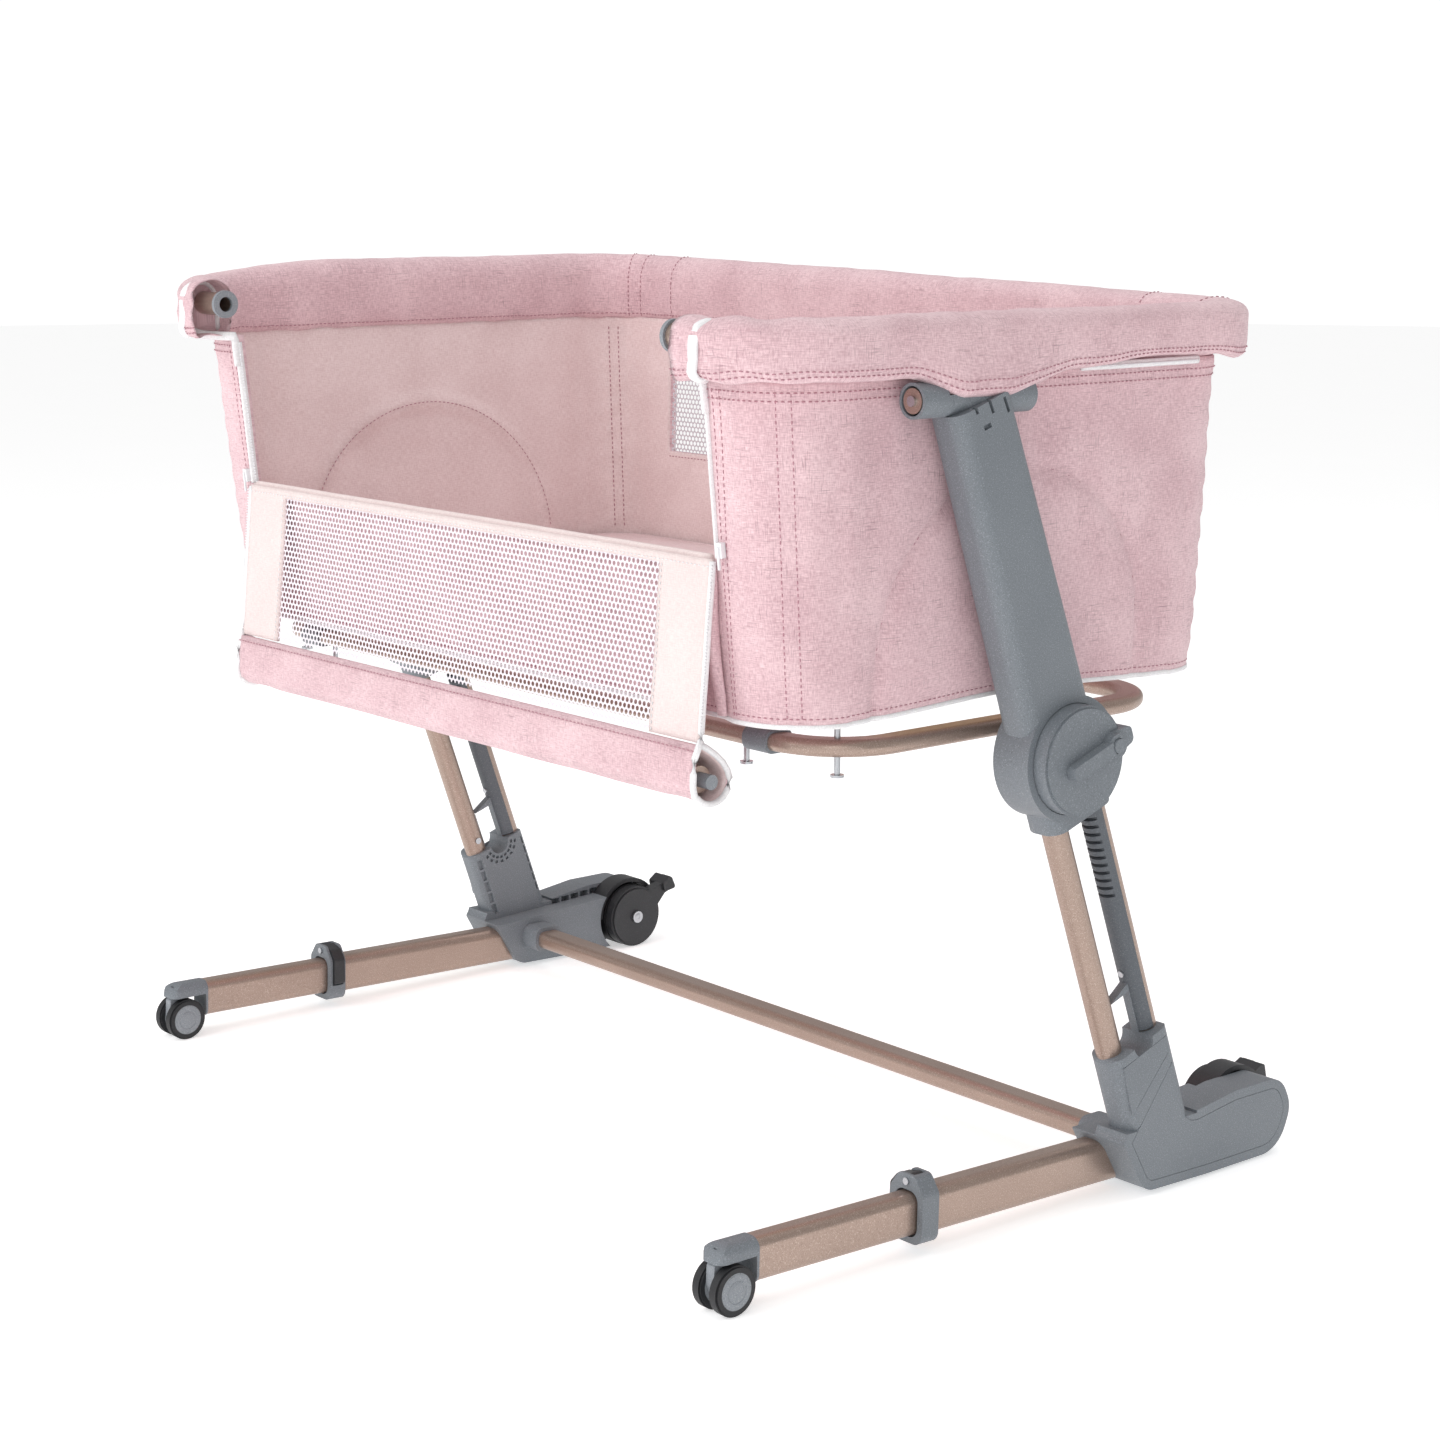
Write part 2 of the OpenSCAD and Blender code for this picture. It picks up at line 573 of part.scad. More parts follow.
module release_knob() color("lightslategray") leg_frame() difference() {
    union() {
        rod_x(arm_out - 3.6, knob_out - 2, knob_r);
        rod_x(knob_out - 2.1, knob_out, knob_r - 2.2);
        rod_x(leg_x + 6.4, arm_out, 9);
        // grip bar across the face and the lug at the rim
        along_x(knob_out - 0.5, knob_out + 9) polygon(rounded([
            [-23, -6, 4], [26, -6, 2], [26, 6, 2], [-23, 6, 4]]));
        translate([0, 31, 0]) rod_x(knob_out - 0.5, knob_out + 8, 10);
        along_x(arm_out + 0.4, knob_out + 3) polygon(rounded([
            [30, -11, 2], [54, -7, 5], [54, 7, 5], [30, 11, 2]]));
    }
    translate([0, 31, 0]) rod_x(knob_out - 6, knob_out + 12, 6 + 0.4);
}

module lock_button() color("lightslategray") leg_frame() translate([0, 31, 0]) {
    rod_x(knob_out - 1.5, knob_out + 10, 6);
}

module latch_pawl() color("silver") leg_frame()
    translate([leg_x, leg_pitch / 2 - leg_r - pawl_free, 0]) translate([-5.6, -18, -1.2])
        cube([11.2, 18, 2.4]);

// ---------- basket ----------

// Sweeps an outline (across, up) along the rim from one front end to the other.
// x0 is where it starts, beside the drop side.
module rim_sweep(x0) {
    front = rim_front + rim_front_bend;
    back = rim_back - rim_back_bend;
    for (s = [1, -1]) on_side(s) {
        translate([0, rim_front, rim_z]) rotate([90, 0, 90])
            translate([0, 0, x0]) linear_extrude(rim_x - rim_front_bend - x0) mirror([1, 0]) children();
        translate([rim_x - rim_front_bend, front, rim_z]) rotate([0, 0, -90])
            rotate_extrude(angle = 90, $fn = 96) translate([rim_front_bend, 0]) children();
        translate([0, back, rim_z]) rotate([90, 0, 0]) linear_extrude(back - front)
            translate([rim_x, 0]) children();
        translate([rim_x - rim_back_bend, back, rim_z])
            rotate_extrude(angle = 90, $fn = 96) translate([rim_back_bend, 0]) children();
        translate([0, rim_back, rim_z]) rotate([90, 0, 90])
            linear_extrude(rim_x - rim_back_bend) children();
    }
}

module rim_rail() color("rosybrown") rim_sweep(stub_x + ring_t) difference() {
    circle(rim_r);
    circle(rim_r - tube_wall);
}

module rim_end_rings() color("slategray") both_sides() translate([0, rim_front, rim_z])
    ring_x(stub_x, stub_x + ring_t, rim_r + 2.2, plunger_r + 1);

module pivot_tubes() color("rosybrown") both_sides() translate([leg_x - 2.5, barrel_y, pivot_z]) difference() {
    rod_y(0.5, barrel_len - 0.5, pivot_r);
    rod_y(8, barrel_len + 1, pivot_r - tube_wall);
    rod_y(0, 9, 2);
}

bracket_y = barrel_y + barrel_len / 2 - 14;

// Saddle that ties the rim tube to the pivot tube through the barrel's window
module pivot_brackets() color("dimgray") both_sides() difference() {
    along_y(bracket_y, bracket_y + 28) polygon(rounded([
        [leg_x - 11.5, pivot_z + 5, 2], [leg_x + 6.5, pivot_z + 5, 2], [rim_x + 9, rim_z - 4, 2],
        [rim_x - 9, rim_z - 4, 2]]));
    translate([leg_x - 2.5, 0, pivot_z]) rod_y(bracket_y - 1, bracket_y + 29, pivot_r);
    translate([rim_x, 0, rim_z]) rod_y(bracket_y - 1, bracket_y + 29, rim_r);
}

module pivot_screws() color("silver") both_sides() translate([leg_x - 2.5, barrel_y, pivot_z]) {
    rod_y(-1.6, 0.5, 4.2);
    rod_y(0.5, 8, 2);
}

module lower_frame() color("rosybrown") difference() {
    for (s = [1, -1]) on_side(s) {
        for (y = frame_y) translate([0, y, frame_z]) rotate([90, 0, 90])
            linear_extrude(frame_x - frame_bend) frame_section();
        translate([frame_x, frame_y[1] - frame_bend, frame_z]) rotate([90, 0, 0])
            linear_extrude(frame_y[1] - frame_y[0] - 2 * frame_bend) frame_section();
        for (t = [0, 1]) translate([frame_x - frame_bend, frame_y[t] + (t > 0 ? -1 : 1) * frame_bend, frame_z])
            rotate([0, 0, t > 0 ? 0 : -90]) rotate_extrude(angle = 90, $fn = 96)
                translate([frame_bend, 0]) frame_section();
    }
    each_stud() cylinder(h = 80, r = 2.5, center = true);
}

module frame_section() difference() {
    rrect(frame_tube, 6.5);
    rrect(frame_tube - [1, 1] * 2 * tube_wall, 6.5 - tube_wall);
}

stud_turn = 42;                  // how far round the front bend the corner stud sits
corner_stud = [frame_x, frame_y[0]] + frame_bend * [cos(stud_turn) - 1, 1 - sin(stud_turn)];

module each_stud() both_sides()
    for (p = [[stud_x, frame_y[0]], corner_stud, [frame_x, frame_y[1] - 110], [stud_x, frame_y[1]]])
        translate([p.x, p.y, frame_z]) children();

// Riveted joint pieces where the front run folds for packing
module frame_brackets() color("slategray") both_sides()
    translate([frame_x - frame_bend - bracket_len, frame_y[0], frame_z]) difference() {
        along_x(0, bracket_len) rrect(frame_tube + [5, 5], 8);
        along_x(-1, bracket_len + 1) rrect(frame_tube, 6.5);
    }

module frame_studs() color("silver") each_stud() {
    translate([0, 0, -22]) cylinder(h = 22 + tub_z + 6 - frame_z, r = 2.5);
    translate([0, 0, -24]) cylinder(h = 2, r = 5.5);
}

module base_board() color("burlywood") translate([0, 0, tub_z + 6.4]) linear_extrude(6)
    tub_plan(0.03, -tub_wall - 2);

module mattress() color("pink") translate([0, 0, tub_z + 13]) linear_extrude(mattress_t)
    tub_plan(0.06, -tub_wall - 3);

// Plan of the tub at the height share t, from 0 at the bottom to 1 at the top, grown by g
module tub_plan(t, g) {
    x = tub_bottom_x + t * (rim_x - 6 - tub_bottom_x) + g;
    y0 = tub_bottom_y[0] + t * (tub_top_y[0] - tub_bottom_y[0]) - g;
    y1 = tub_bottom_y[1] + t * (tub_top_y[1] - tub_bottom_y[1]) + g;
    translate([0, (y0 + y1) / 2]) rrect([2 * x, y1 - y0], 62 + g, $fn = 32);
}

module tub_loft(g, z0) hull() {
    t0 = (z0 - tub_z) / (tub_top - tub_z);
    translate([0, 0, z0]) linear_extrude(0.1) tub_plan(t0, g);
    translate([0, 0, tub_top - 0.1]) linear_extrude(0.1 - min(0, g)) tub_plan(1, g);
}

// Padded fabric tub, open at the top and, above the fold, at the front
module tub_cover() color("palevioletred") difference() {
    tub_loft(0, tub_z);
    tub_loft(-tub_wall, tub_z + 6);
    translate([-opening_x, -400, fold_z - 4]) cube([2 * opening_x, 400 + tub_bottom_y[0] + 20, 300]);
    each_stud() cylinder(h = 80, r = 2.5, center = true);
}

module pad_section() translate([2, pad_low - rim_z]) difference() {
    translate([0, rim_pad_h / 2]) rrect([rim_pad, rim_pad_h], 14);
    translate([-2, rim_z - pad_low]) circle(rim_r + step);
}

module rim_cover() color("palevioletred") difference() {
    rim_sweep(pad_x0 - 12) pad_section();
    for (s = [-1, 1]) translate([s * (rim_x + 4) - 20, bracket_y - 1, pad_low - 10])
        cube([40, 30, rim_z - pad_low + 5.5]);
    translate([-pad_x0, rim_front - 60, 600]) cube([2 * pad_x0, 100, 200]);
}

// ---------- drop side ----------

module at_rail() translate([0, rail_y, rail_z]) children();

module flap_rail() color("rosybrown") at_rail() ring_x(-rail_x, rail_x, rim_r, plunger_r + fit);

// Sleeve that hangs round the rail, drawn out at its top where it meets the panel
module flap_roll() color("pink") at_rail() along_x(-stub_x + 2, stub_x - 2) difference() {
    polygon(rounded([[-13.5, roll_rise, 1.5], [-10, roll_rise, 1.5], [roll_r + 2, 6, 12],
        [roll_r + 2, -roll_r, roll_r - 2], [-roll_r + 2, -roll_r, roll_r - 2]]));
    circle(rim_r + step);
}

// Mesh-windowed panel between the fold and the roll
module flap_panel() color("mistyrose") translate([0, fold_y, fold_z]) rotate([-panel_slope, 0, 0])
    translate([-flap_x, -panel_t / 2, -panel_drop]) cube([2 * flap_x, panel_t, panel_drop - 0.5]);

module plunger() color("gray") at_rail() {
    rod_x(rail_x - 40, stub_x + 14, plunger_r);
}

// ---------- zips ----------

zip_lean = atan((tub_bottom_y[0] - tub_top_y[0]) / (tub_top - tub_z));

module zip_slider() color("white") translate([opening_x + 3.4, fold_y + 5.2 - 1.2, fold_z + 2])
    rotate([zip_lean, 0, 0]) translate([0, -5.6, 0]) {
        cube([6.4, 4.4, 12]);
        translate([2.2, -1.6, -9]) cube([2, 1.6, 18]);
    }

// ---------- drawing ----------

on_side(1) boot();  // right_boot
on_side(-1) boot();  // left_boot
both_sides() boot_cover();  // boot_covers
on_side(1) outer_beam_tube();  // right_outer_beam
on_side(-1) outer_beam_tube();  // left_outer_beam
cross_tube();
on_side(1) clamp_collar();  // right_clamp_collar
on_side(-1) clamp_collar();  // left_clamp_collar
clamp_pins();
on_side(1) clamp_lever();  // right_clamp_lever
on_side(-1) clamp_lever();  // left_clamp_lever
on_side(1) front_leg();  // right_front_leg
on_side(-1) front_leg();  // left_front_leg
on_side(1) rear_leg();  // right_rear_leg
on_side(-1) rear_leg();  // left_rear_leg
on_side(1) height_rack();  // right_height_rack
on_side(-1) height_rack();  // left_height_rack
both_sides() leg_screw();  // leg_screws
both_sides() wheel_guard();  // wheel_guards
both_sides() rear_axle();  // rear_axles
on_side(1) rear_wheel();  // right_rear_wheel
on_side(-1) rear_wheel();  // left_rear_wheel
on_side(1) brake_pedal(1);  // right_brake_pedal
on_side(-1) brake_pedal(-1);  // left_brake_pedal
on_side(1) inner_beam_tube(1);  // right_inner_beam
on_side(-1) inner_beam_tube(-1);  // left_inner_beam
on_side(1) toe_cap(1);  // right_toe_cap
on_side(-1) toe_cap(-1);  // left_toe_cap
on_side(1) castor_fork(1);  // right_castor_fork
on_side(-1) castor_fork(-1);  // left_castor_fork
on_side(1) rollers(1);  // right_rollers
on_side(-1) rollers(-1);  // left_rollers
on_side(1) arm(1);  // right_arm
on_side(-1) arm(-1);  // left_arm
on_side(1) release_knob();  // right_release_knob
on_side(-1) release_knob();  // left_release_knob
on_side(1) lock_button();  // right_lock_button
on_side(-1) lock_button();  // left_lock_button
on_side(1) latch_pawl();  // right_latch_pawl
on_side(-1) latch_pawl();  // left_latch_pawl
rim_rail();
rim_end_rings();
pivot_tubes();
pivot_brackets();
pivot_screws();
lower_frame();
frame_brackets();
frame_studs();
base_board();
mattress();
tub_cover();
rim_cover();
flap_rail();
flap_panel();
flap_roll();
on_side(1) plunger();  // right_plunger
on_side(-1) plunger();  // left_plunger
on_side(1) zip_slider();  // right_zip_slider
on_side(-1) zip_slider();  // left_zip_slider
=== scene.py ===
"""Looks for a bedside bassinet on a height-adjustable stand.

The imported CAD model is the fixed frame. This script dresses its hard parts, makes the fabric, net,
padding, piping, stitching and zips in their place, and sets the studio and the camera.
"""

import json
import logging
import math
from collections.abc import Callable, Iterable, Sequence
from dataclasses import dataclass, field
from enum import Enum

import bmesh
import bpy
from mathutils import Matrix, Vector, noise


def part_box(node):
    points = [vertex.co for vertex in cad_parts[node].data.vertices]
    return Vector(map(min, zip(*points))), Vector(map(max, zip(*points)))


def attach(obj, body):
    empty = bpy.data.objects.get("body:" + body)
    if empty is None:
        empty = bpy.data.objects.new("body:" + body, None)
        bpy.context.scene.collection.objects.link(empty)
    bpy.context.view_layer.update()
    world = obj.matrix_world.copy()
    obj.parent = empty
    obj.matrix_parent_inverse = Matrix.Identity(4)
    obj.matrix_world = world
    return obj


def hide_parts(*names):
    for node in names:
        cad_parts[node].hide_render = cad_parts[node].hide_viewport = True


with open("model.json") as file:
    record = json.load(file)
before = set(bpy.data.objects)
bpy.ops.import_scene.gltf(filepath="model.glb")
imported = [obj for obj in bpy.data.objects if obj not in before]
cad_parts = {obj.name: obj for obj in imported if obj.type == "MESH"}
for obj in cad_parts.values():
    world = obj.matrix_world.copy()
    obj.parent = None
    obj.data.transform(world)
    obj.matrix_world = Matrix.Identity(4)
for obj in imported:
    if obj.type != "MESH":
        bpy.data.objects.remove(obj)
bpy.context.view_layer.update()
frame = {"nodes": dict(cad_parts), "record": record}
log = logging.getLogger("bassinet")

Point = tuple[float, float, float]
Rgb = tuple[int, int, int]


class Side(Enum):
    """The two ends of the bassinet."""

    RIGHT = 1
    LEFT = -1


class Space(Enum):
    """Where a finish reads its pattern's coordinates."""

    OBJECT = "Object"
    CLOTH = "UV"


def linear(rgb: Rgb) -> tuple[float, float, float, float]:
    """Turns an 8-bit display colour into a linear one.

    Args:
        rgb: Red, green and blue from 0 to 255.

    Returns:
        Linear red, green and blue with an alpha of 1.
    """
    part = [c / 255 for c in rgb]
    r, g, b = (c / 12.92 if c <= 0.04045 else ((c + 0.055) / 1.055) ** 2.4 for c in part)
    return (r, g, b, 1.0)


# ---------- shader graphs ----------


@dataclass
class Graph:
    """Adds and links nodes in a material or a node group."""

    tree: bpy.types.NodeTree

    def add(self, kind: str, inputs: dict[str | int, object] | None = None, **settings: object) -> bpy.types.Node:
        """Adds one shader node.

        Args:
            kind: The node's type, without its ShaderNode prefix.
            inputs: Values or output sockets, by input name or index.
            **settings: The node's own properties.

        Returns:
            The new node.
        """
        node = self.tree.nodes.new("ShaderNode" + kind)
        for key, value in settings.items():
            setattr(node, key, value)
        for key, value in (inputs or {}).items():
            if isinstance(value, bpy.types.NodeSocket):
                self.tree.links.new(value, node.inputs[key])
            else:
                node.inputs[key].default_value = value
        return node

    def math(self, operation: str, a: object, b: object = 0.0) -> bpy.types.NodeSocket:
        """Adds a Math node and returns its result."""
        return self.add("Math", {0: a, 1: b}, operation=operation).outputs[0]

    def remap(self, value: object, low: float, high: float, out_low: float = 0.0,
              out_high: float = 1.0) -> bpy.types.NodeSocket:
        """Adds a clamped Map Range node.

        Args:
            value: The number that is mapped.
            low: Value that maps to out_low.
            high: Value that maps to out_high.
            out_low: Result at and below low.
            out_high: Result at and above high.

        Returns:
            The mapped value's socket.
        """
        return self.add("MapRange", {"Value": value, "From Min": low, "From Max": high,
                                     "To Min": out_low, "To Max": out_high}).outputs[0]

    def blend(self, factor: object, a: object, b: object) -> bpy.types.NodeSocket:
        """Adds a colour mix and returns its result."""
        node = self.add("Mix", data_type="RGBA")
        for index, value in ((0, factor), (6, a), (7, b)):
            if isinstance(value, bpy.types.NodeSocket):
                self.tree.links.new(value, node.inputs[index])
            else:
                node.inputs[index].default_value = value
        return node.outputs[2]

    def noise(self, vector: object, scale: float, detail: float = 2.0) -> bpy.types.NodeSocket:
        """Adds a noise texture and returns its value."""
        return self.add("TexNoise", {"Vector": vector, "Scale": scale, "Detail": detail}).outputs[0]

    def stretched(self, vector: object, scale: Point) -> bpy.types.NodeSocket:
        """Adds a Mapping node that scales a pattern and returns its vector."""
        return self.add("Mapping", {"Vector": vector, "Scale": scale}).outputs[0]


class EffectGroups:
    """Shader effects that several finishes share, each built once as a node group."""

    def __init__(self) -> None:
        """Builds the groups."""
        self.melange = self._melange()
        self.net = self._net()
        self.speckle = self._speckle()
        self.scuff = self._scuff()

    @staticmethod
    def _open(name: str, inputs: Sequence[tuple[str, str, float]],
              outputs: Sequence[tuple[str, str]]) -> tuple[Graph, bpy.types.Node, bpy.types.Node]:
        """Starts a node group.

        Args:
            name: The group's name.
            inputs: Name, socket type and default of each input.
            outputs: Name and socket type of each output.

        Returns:
            The group's graph and its input and output nodes.
        """
        tree = bpy.data.node_groups.new(name, "ShaderNodeTree")
        for title, kind, default in inputs:
            socket = tree.interface.new_socket(name=title, in_out="INPUT", socket_type="NodeSocket" + kind)
            if kind == "Float":
                socket.default_value = default
        for title, kind in outputs:
            tree.interface.new_socket(name=title, in_out="OUTPUT", socket_type="NodeSocket" + kind)
        return Graph(tree), tree.nodes.new("NodeGroupInput"), tree.nodes.new("NodeGroupOutput")

    def _melange(self) -> bpy.types.NodeTree:
        """Woven cloth: slub streaks both ways, thread melange and the weave's height."""
        g, given, out = self._open("melange_weave", [("Vector", "Vector", 0), ("Thread", "Float", 0.0011)],
                                   [("Slub", "Float"), ("Melange", "Float"), ("Height", "Float")])
        vector = given.outputs["Vector"]
        along = g.remap(g.noise(g.stretched(vector, (46, 1150, 420)), 1.0, 2.0), 0.58, 0.70)
        across = g.remap(g.noise(g.stretched(vector, (1150, 60, 420)), 1.0, 2.0), 0.59, 0.71)
        patches = g.remap(g.noise(vector, 26, 3.0), 0.42, 0.64, 0.2, 1.0)
        slub = g.math("MULTIPLY", g.math("MAXIMUM", along, across), patches)
        long_thread = g.noise(g.stretched(vector, (170, 1150, 600)), 1.0, 2.0)
        cross_thread = g.noise(g.stretched(vector, (1150, 190, 600)), 1.0, 2.0)
        fine = g.math("MULTIPLY", g.math("ADD", long_thread, cross_thread), 0.5)
        wide = g.noise(vector, 16, 3.0)
        melange = g.remap(g.math("ADD", g.math("MULTIPLY", fine, 0.75), g.math("MULTIPLY", wide, 0.25)), 0.40, 0.60)
        parts = g.add("SeparateXYZ", {0: vector})
        turn = g.math("DIVIDE", 2 * math.pi, given.outputs["Thread"])
        warp = g.math("SINE", g.math("MULTIPLY", parts.outputs[0], turn))
        weft = g.math("SINE", g.math("MULTIPLY", parts.outputs[1], turn))
        weave = g.math("MULTIPLY", g.math("MULTIPLY", warp, weft), 0.35)
        height = g.math("ADD", g.math("ADD", weave, fine), g.math("MULTIPLY", slub, 0.5))
        for name, value in (("Slub", slub), ("Melange", melange), ("Height", height)):
            g.tree.links.new(value, out.inputs[name])
        return g.tree

    def _net(self) -> bpy.types.NodeTree:
        """Knitted net: rounded holes on a hexagonal lattice."""
        g, given, out = self._open("hexagon_net", [("Vector", "Vector", 0), ("Pitch", "Float", 0.0045)],
                                   [("Hole", "Float"), ("Height", "Float")])
        parts = g.add("SeparateXYZ", {0: given.outputs["Vector"]})
        turn = g.math("DIVIDE", 2 * math.pi / 0.866, given.outputs["Pitch"])
        total: object = 0.0
        for degrees in (90, 30, 150):
            cx, cy = math.cos(math.radians(degrees)), math.sin(math.radians(degrees))
            line = g.math("ADD", g.math("MULTIPLY", parts.outputs[0], cx), g.math("MULTIPLY", parts.outputs[1], cy))
            total = g.math("ADD", total, g.math("COSINE", g.math("MULTIPLY", line, turn)))
        g.tree.links.new(g.remap(total, -0.35, 0.05), out.inputs["Hole"])
        g.tree.links.new(g.remap(total, 0.2, -1.2), out.inputs["Height"])
        return g.tree

    def _speckle(self) -> bpy.types.NodeTree:
        """Fine two-way speckle for moulded plastic and metallic paint."""
        g, given, out = self._open("fine_speckle", [("Vector", "Vector", 0), ("Scale", "Float", 900)],
                                   [("Light", "Float"), ("Dark", "Float"), ("Height", "Float")])
        vector = given.outputs["Vector"]
        grain = g.add("TexNoise", {"Vector": vector, "Scale": given.outputs["Scale"], "Detail": 2.0}).outputs[0]
        shifted = g.add("Mapping", {"Vector": vector, "Location": (3.1, 1.7, 5.3)}).outputs[0]
        other = g.add("TexNoise", {"Vector": shifted, "Scale": given.outputs["Scale"], "Detail": 2.0}).outputs[0]
        g.tree.links.new(g.remap(grain, 0.56, 0.68), out.inputs["Light"])
        g.tree.links.new(g.remap(other, 0.57, 0.7), out.inputs["Dark"])
        g.tree.links.new(grain, out.inputs["Height"])
        return g.tree

    def _scuff(self) -> bpy.types.NodeTree:
        """Soft large mottling with sparse hairline scuffs."""
        g, given, out = self._open("handling_wear", [("Vector", "Vector", 0)], [("Mottle", "Float"), ("Scuff", "Float")])
        vector = given.outputs["Vector"]
        g.tree.links.new(g.noise(vector, 9.0, 4.0), out.inputs["Mottle"])
        lines = g.noise(g.stretched(vector, (30, 260, 260)), 1.0, 4.0)
        zones = g.remap(g.noise(vector, 14.0, 2.0), 0.52, 0.66)
        g.tree.links.new(g.math("MULTIPLY", g.remap(lines, 0.64, 0.7), zones), out.inputs["Scuff"])
        return g.tree


def new_material(name: str) -> tuple[bpy.types.Material, Graph, bpy.types.Node]:
    """Starts a material.

    Args:
        name: The material's name.

    Returns:
        The material, its graph and its Principled shader.
    """
    material = bpy.data.materials.new(name)
    material.use_nodes = True
    graph = Graph(material.node_tree)
    return material, graph, material.node_tree.nodes["Principled BSDF"]


@dataclass(frozen=True)
class ClothFinish:
    """Woven fabric with slubs and melange threads."""

    name: str
    base: Rgb
    light: Rgb
    streak: Rgb
    slub: float
    space: Space = Space.CLOTH
    sheen: float = 0.25

    def build(self, groups: EffectGroups) -> bpy.types.Material:
        """Builds the material from its shared weave group."""
        material, g, shader = new_material(self.name)
        vector = g.add("TexCoord").outputs[self.space.value]
        weave = g.add("Group", {}, node_tree=groups.melange)
        g.tree.links.new(vector, weave.inputs["Vector"])
        weave.inputs["Thread"].default_value = 0.0011
        body = g.blend(weave.outputs["Melange"], linear(self.base), linear(self.light))
        colour = g.blend(g.math("MULTIPLY", weave.outputs["Slub"], self.slub), body, linear(self.streak))
        g.tree.links.new(colour, shader.inputs["Base Color"])
        g.tree.links.new(g.remap(weave.outputs["Melange"], 0, 1, 0.95, 0.82), shader.inputs["Roughness"])
        bump = g.add("Bump", {"Height": weave.outputs["Height"], "Strength": 0.35, "Distance": 0.0006})
        g.tree.links.new(bump.outputs[0], shader.inputs["Normal"])
        shader.inputs["Sheen Weight"].default_value = self.sheen
        shader.inputs["Sheen Roughness"].default_value = 0.6
        shader.inputs["Specular IOR Level"].default_value = 0.25
        return material


@dataclass(frozen=True)
class NetFinish:
    """Knitted net with open holes."""

    name: str
    thread: Rgb
    shade: Rgb
    pitch: float

    def build(self, groups: EffectGroups) -> bpy.types.Material:
        """Builds the see-through net."""
        material, g, shader = new_material(self.name)
        vector = g.add("TexCoord").outputs["UV"]
        net = g.add("Group", {}, node_tree=groups.net)
        g.tree.links.new(vector, net.inputs["Vector"])
        net.inputs["Pitch"].default_value = self.pitch
        tone = g.noise(vector, 700, 2.0)
        g.tree.links.new(g.blend(tone, linear(self.shade), linear(self.thread)), shader.inputs["Base Color"])
        g.tree.links.new(g.math("SUBTRACT", 1.0, net.outputs["Hole"]), shader.inputs["Alpha"])
        g.tree.links.new(g.remap(tone, 0.3, 0.7, 0.55, 0.75), shader.inputs["Roughness"])
        bump = g.add("Bump", {"Height": net.outputs["Height"], "Strength": 0.5, "Distance": 0.0006})
        g.tree.links.new(bump.outputs[0], shader.inputs["Normal"])
        return material


@dataclass(frozen=True)
class SpeckledFinish:
    """Moulded plastic, rubber, paint or metal with a fine speckle and light wear."""

    name: str
    base: Rgb
    light: Rgb
    dark: Rgb
    roughness: float
    metallic: float = 0.0
    speckle: float = 0.5
    scale: float = 900.0
    bump: float = 0.12

    def build(self, groups: EffectGroups) -> bpy.types.Material:
        """Builds the material from the shared speckle and wear groups."""
        material, g, shader = new_material(self.name)
        self.paint(g, shader, groups, linear(self.base))
        return material

    def paint(self, g: Graph, shader: bpy.types.Node, groups: EffectGroups, base: object) -> None:
        """Wires the speckle and wear into a Principled shader.

        Args:
            g: The material's graph.
            shader: Its Principled shader.
            groups: The shared effect groups.
            base: The colour below the speckle, a value or a socket.
        """
        vector = g.add("TexCoord").outputs["Object"]
        speckle = g.add("Group", {}, node_tree=groups.speckle)
        scuff = g.add("Group", {}, node_tree=groups.scuff)
        g.tree.links.new(vector, speckle.inputs["Vector"])
        g.tree.links.new(vector, scuff.inputs["Vector"])
        speckle.inputs["Scale"].default_value = self.scale
        colour = g.blend(g.math("MULTIPLY", speckle.outputs["Light"], self.speckle), base, linear(self.light))
        colour = g.blend(g.math("MULTIPLY", speckle.outputs["Dark"], self.speckle), colour, linear(self.dark))
        colour = g.blend(g.remap(scuff.outputs["Mottle"], 0.35, 0.65, 0.0, 0.12), colour, linear(self.dark))
        colour = g.blend(g.math("MULTIPLY", scuff.outputs["Scuff"], 0.12), colour, linear(self.light))
        g.tree.links.new(colour, shader.inputs["Base Color"])
        rough = g.remap(scuff.outputs["Mottle"], 0.3, 0.7, self.roughness - 0.05, self.roughness + 0.06)
        g.tree.links.new(rough, shader.inputs["Roughness"])
        shader.inputs["Metallic"].default_value = self.metallic
        bump = g.add("Bump", {"Height": speckle.outputs["Height"], "Strength": self.bump, "Distance": 0.0004})
        g.tree.links.new(bump.outputs[0], shader.inputs["Normal"])


@dataclass(frozen=True)
class HubFinish(SpeckledFinish):
    """Wheel finish: a tyre with differently coloured hub discs around its axle."""

    hub: Rgb = (150, 155, 160)
    centre: Point = (0.0, 0.0, 0.0)
    radius: float = 0.014

    def build(self, groups: EffectGroups) -> bpy.types.Material:
        """Builds the tyre's material with the hub inside its radius and a painted groove shade ring on the hub."""
        material, g, shader = new_material(self.name)
        vector = g.add("TexCoord").outputs["Object"]
        shifted = g.add("Mapping", {"Vector": vector, "Location": tuple(-c for c in self.centre)}).outputs[0]
        parts = g.add("SeparateXYZ", {0: shifted})
        flat = g.add("CombineXYZ", {1: parts.outputs[1], 2: parts.outputs[2]})
        length = g.add("VectorMath", {0: flat.outputs[0]}, operation="LENGTH").outputs[1]
        inside = g.remap(length, self.radius, self.radius - 0.0006)
        # Painted shade: a dark ring at 62 % of the hub's radius stands in for the shade inside a groove.
        groove_shade = g.remap(g.math("ABSOLUTE", g.math("SUBTRACT", length, self.radius * 0.62)), 0.0007, 0.0003)
        base = g.blend(inside, linear(self.base), linear(self.hub))
        # Darkens the hub along the painted groove shade ring.
        base = g.blend(g.math("MULTIPLY", groove_shade, 0.45), base, linear(self.dark))
        self.paint(g, shader, groups, base)
        return material


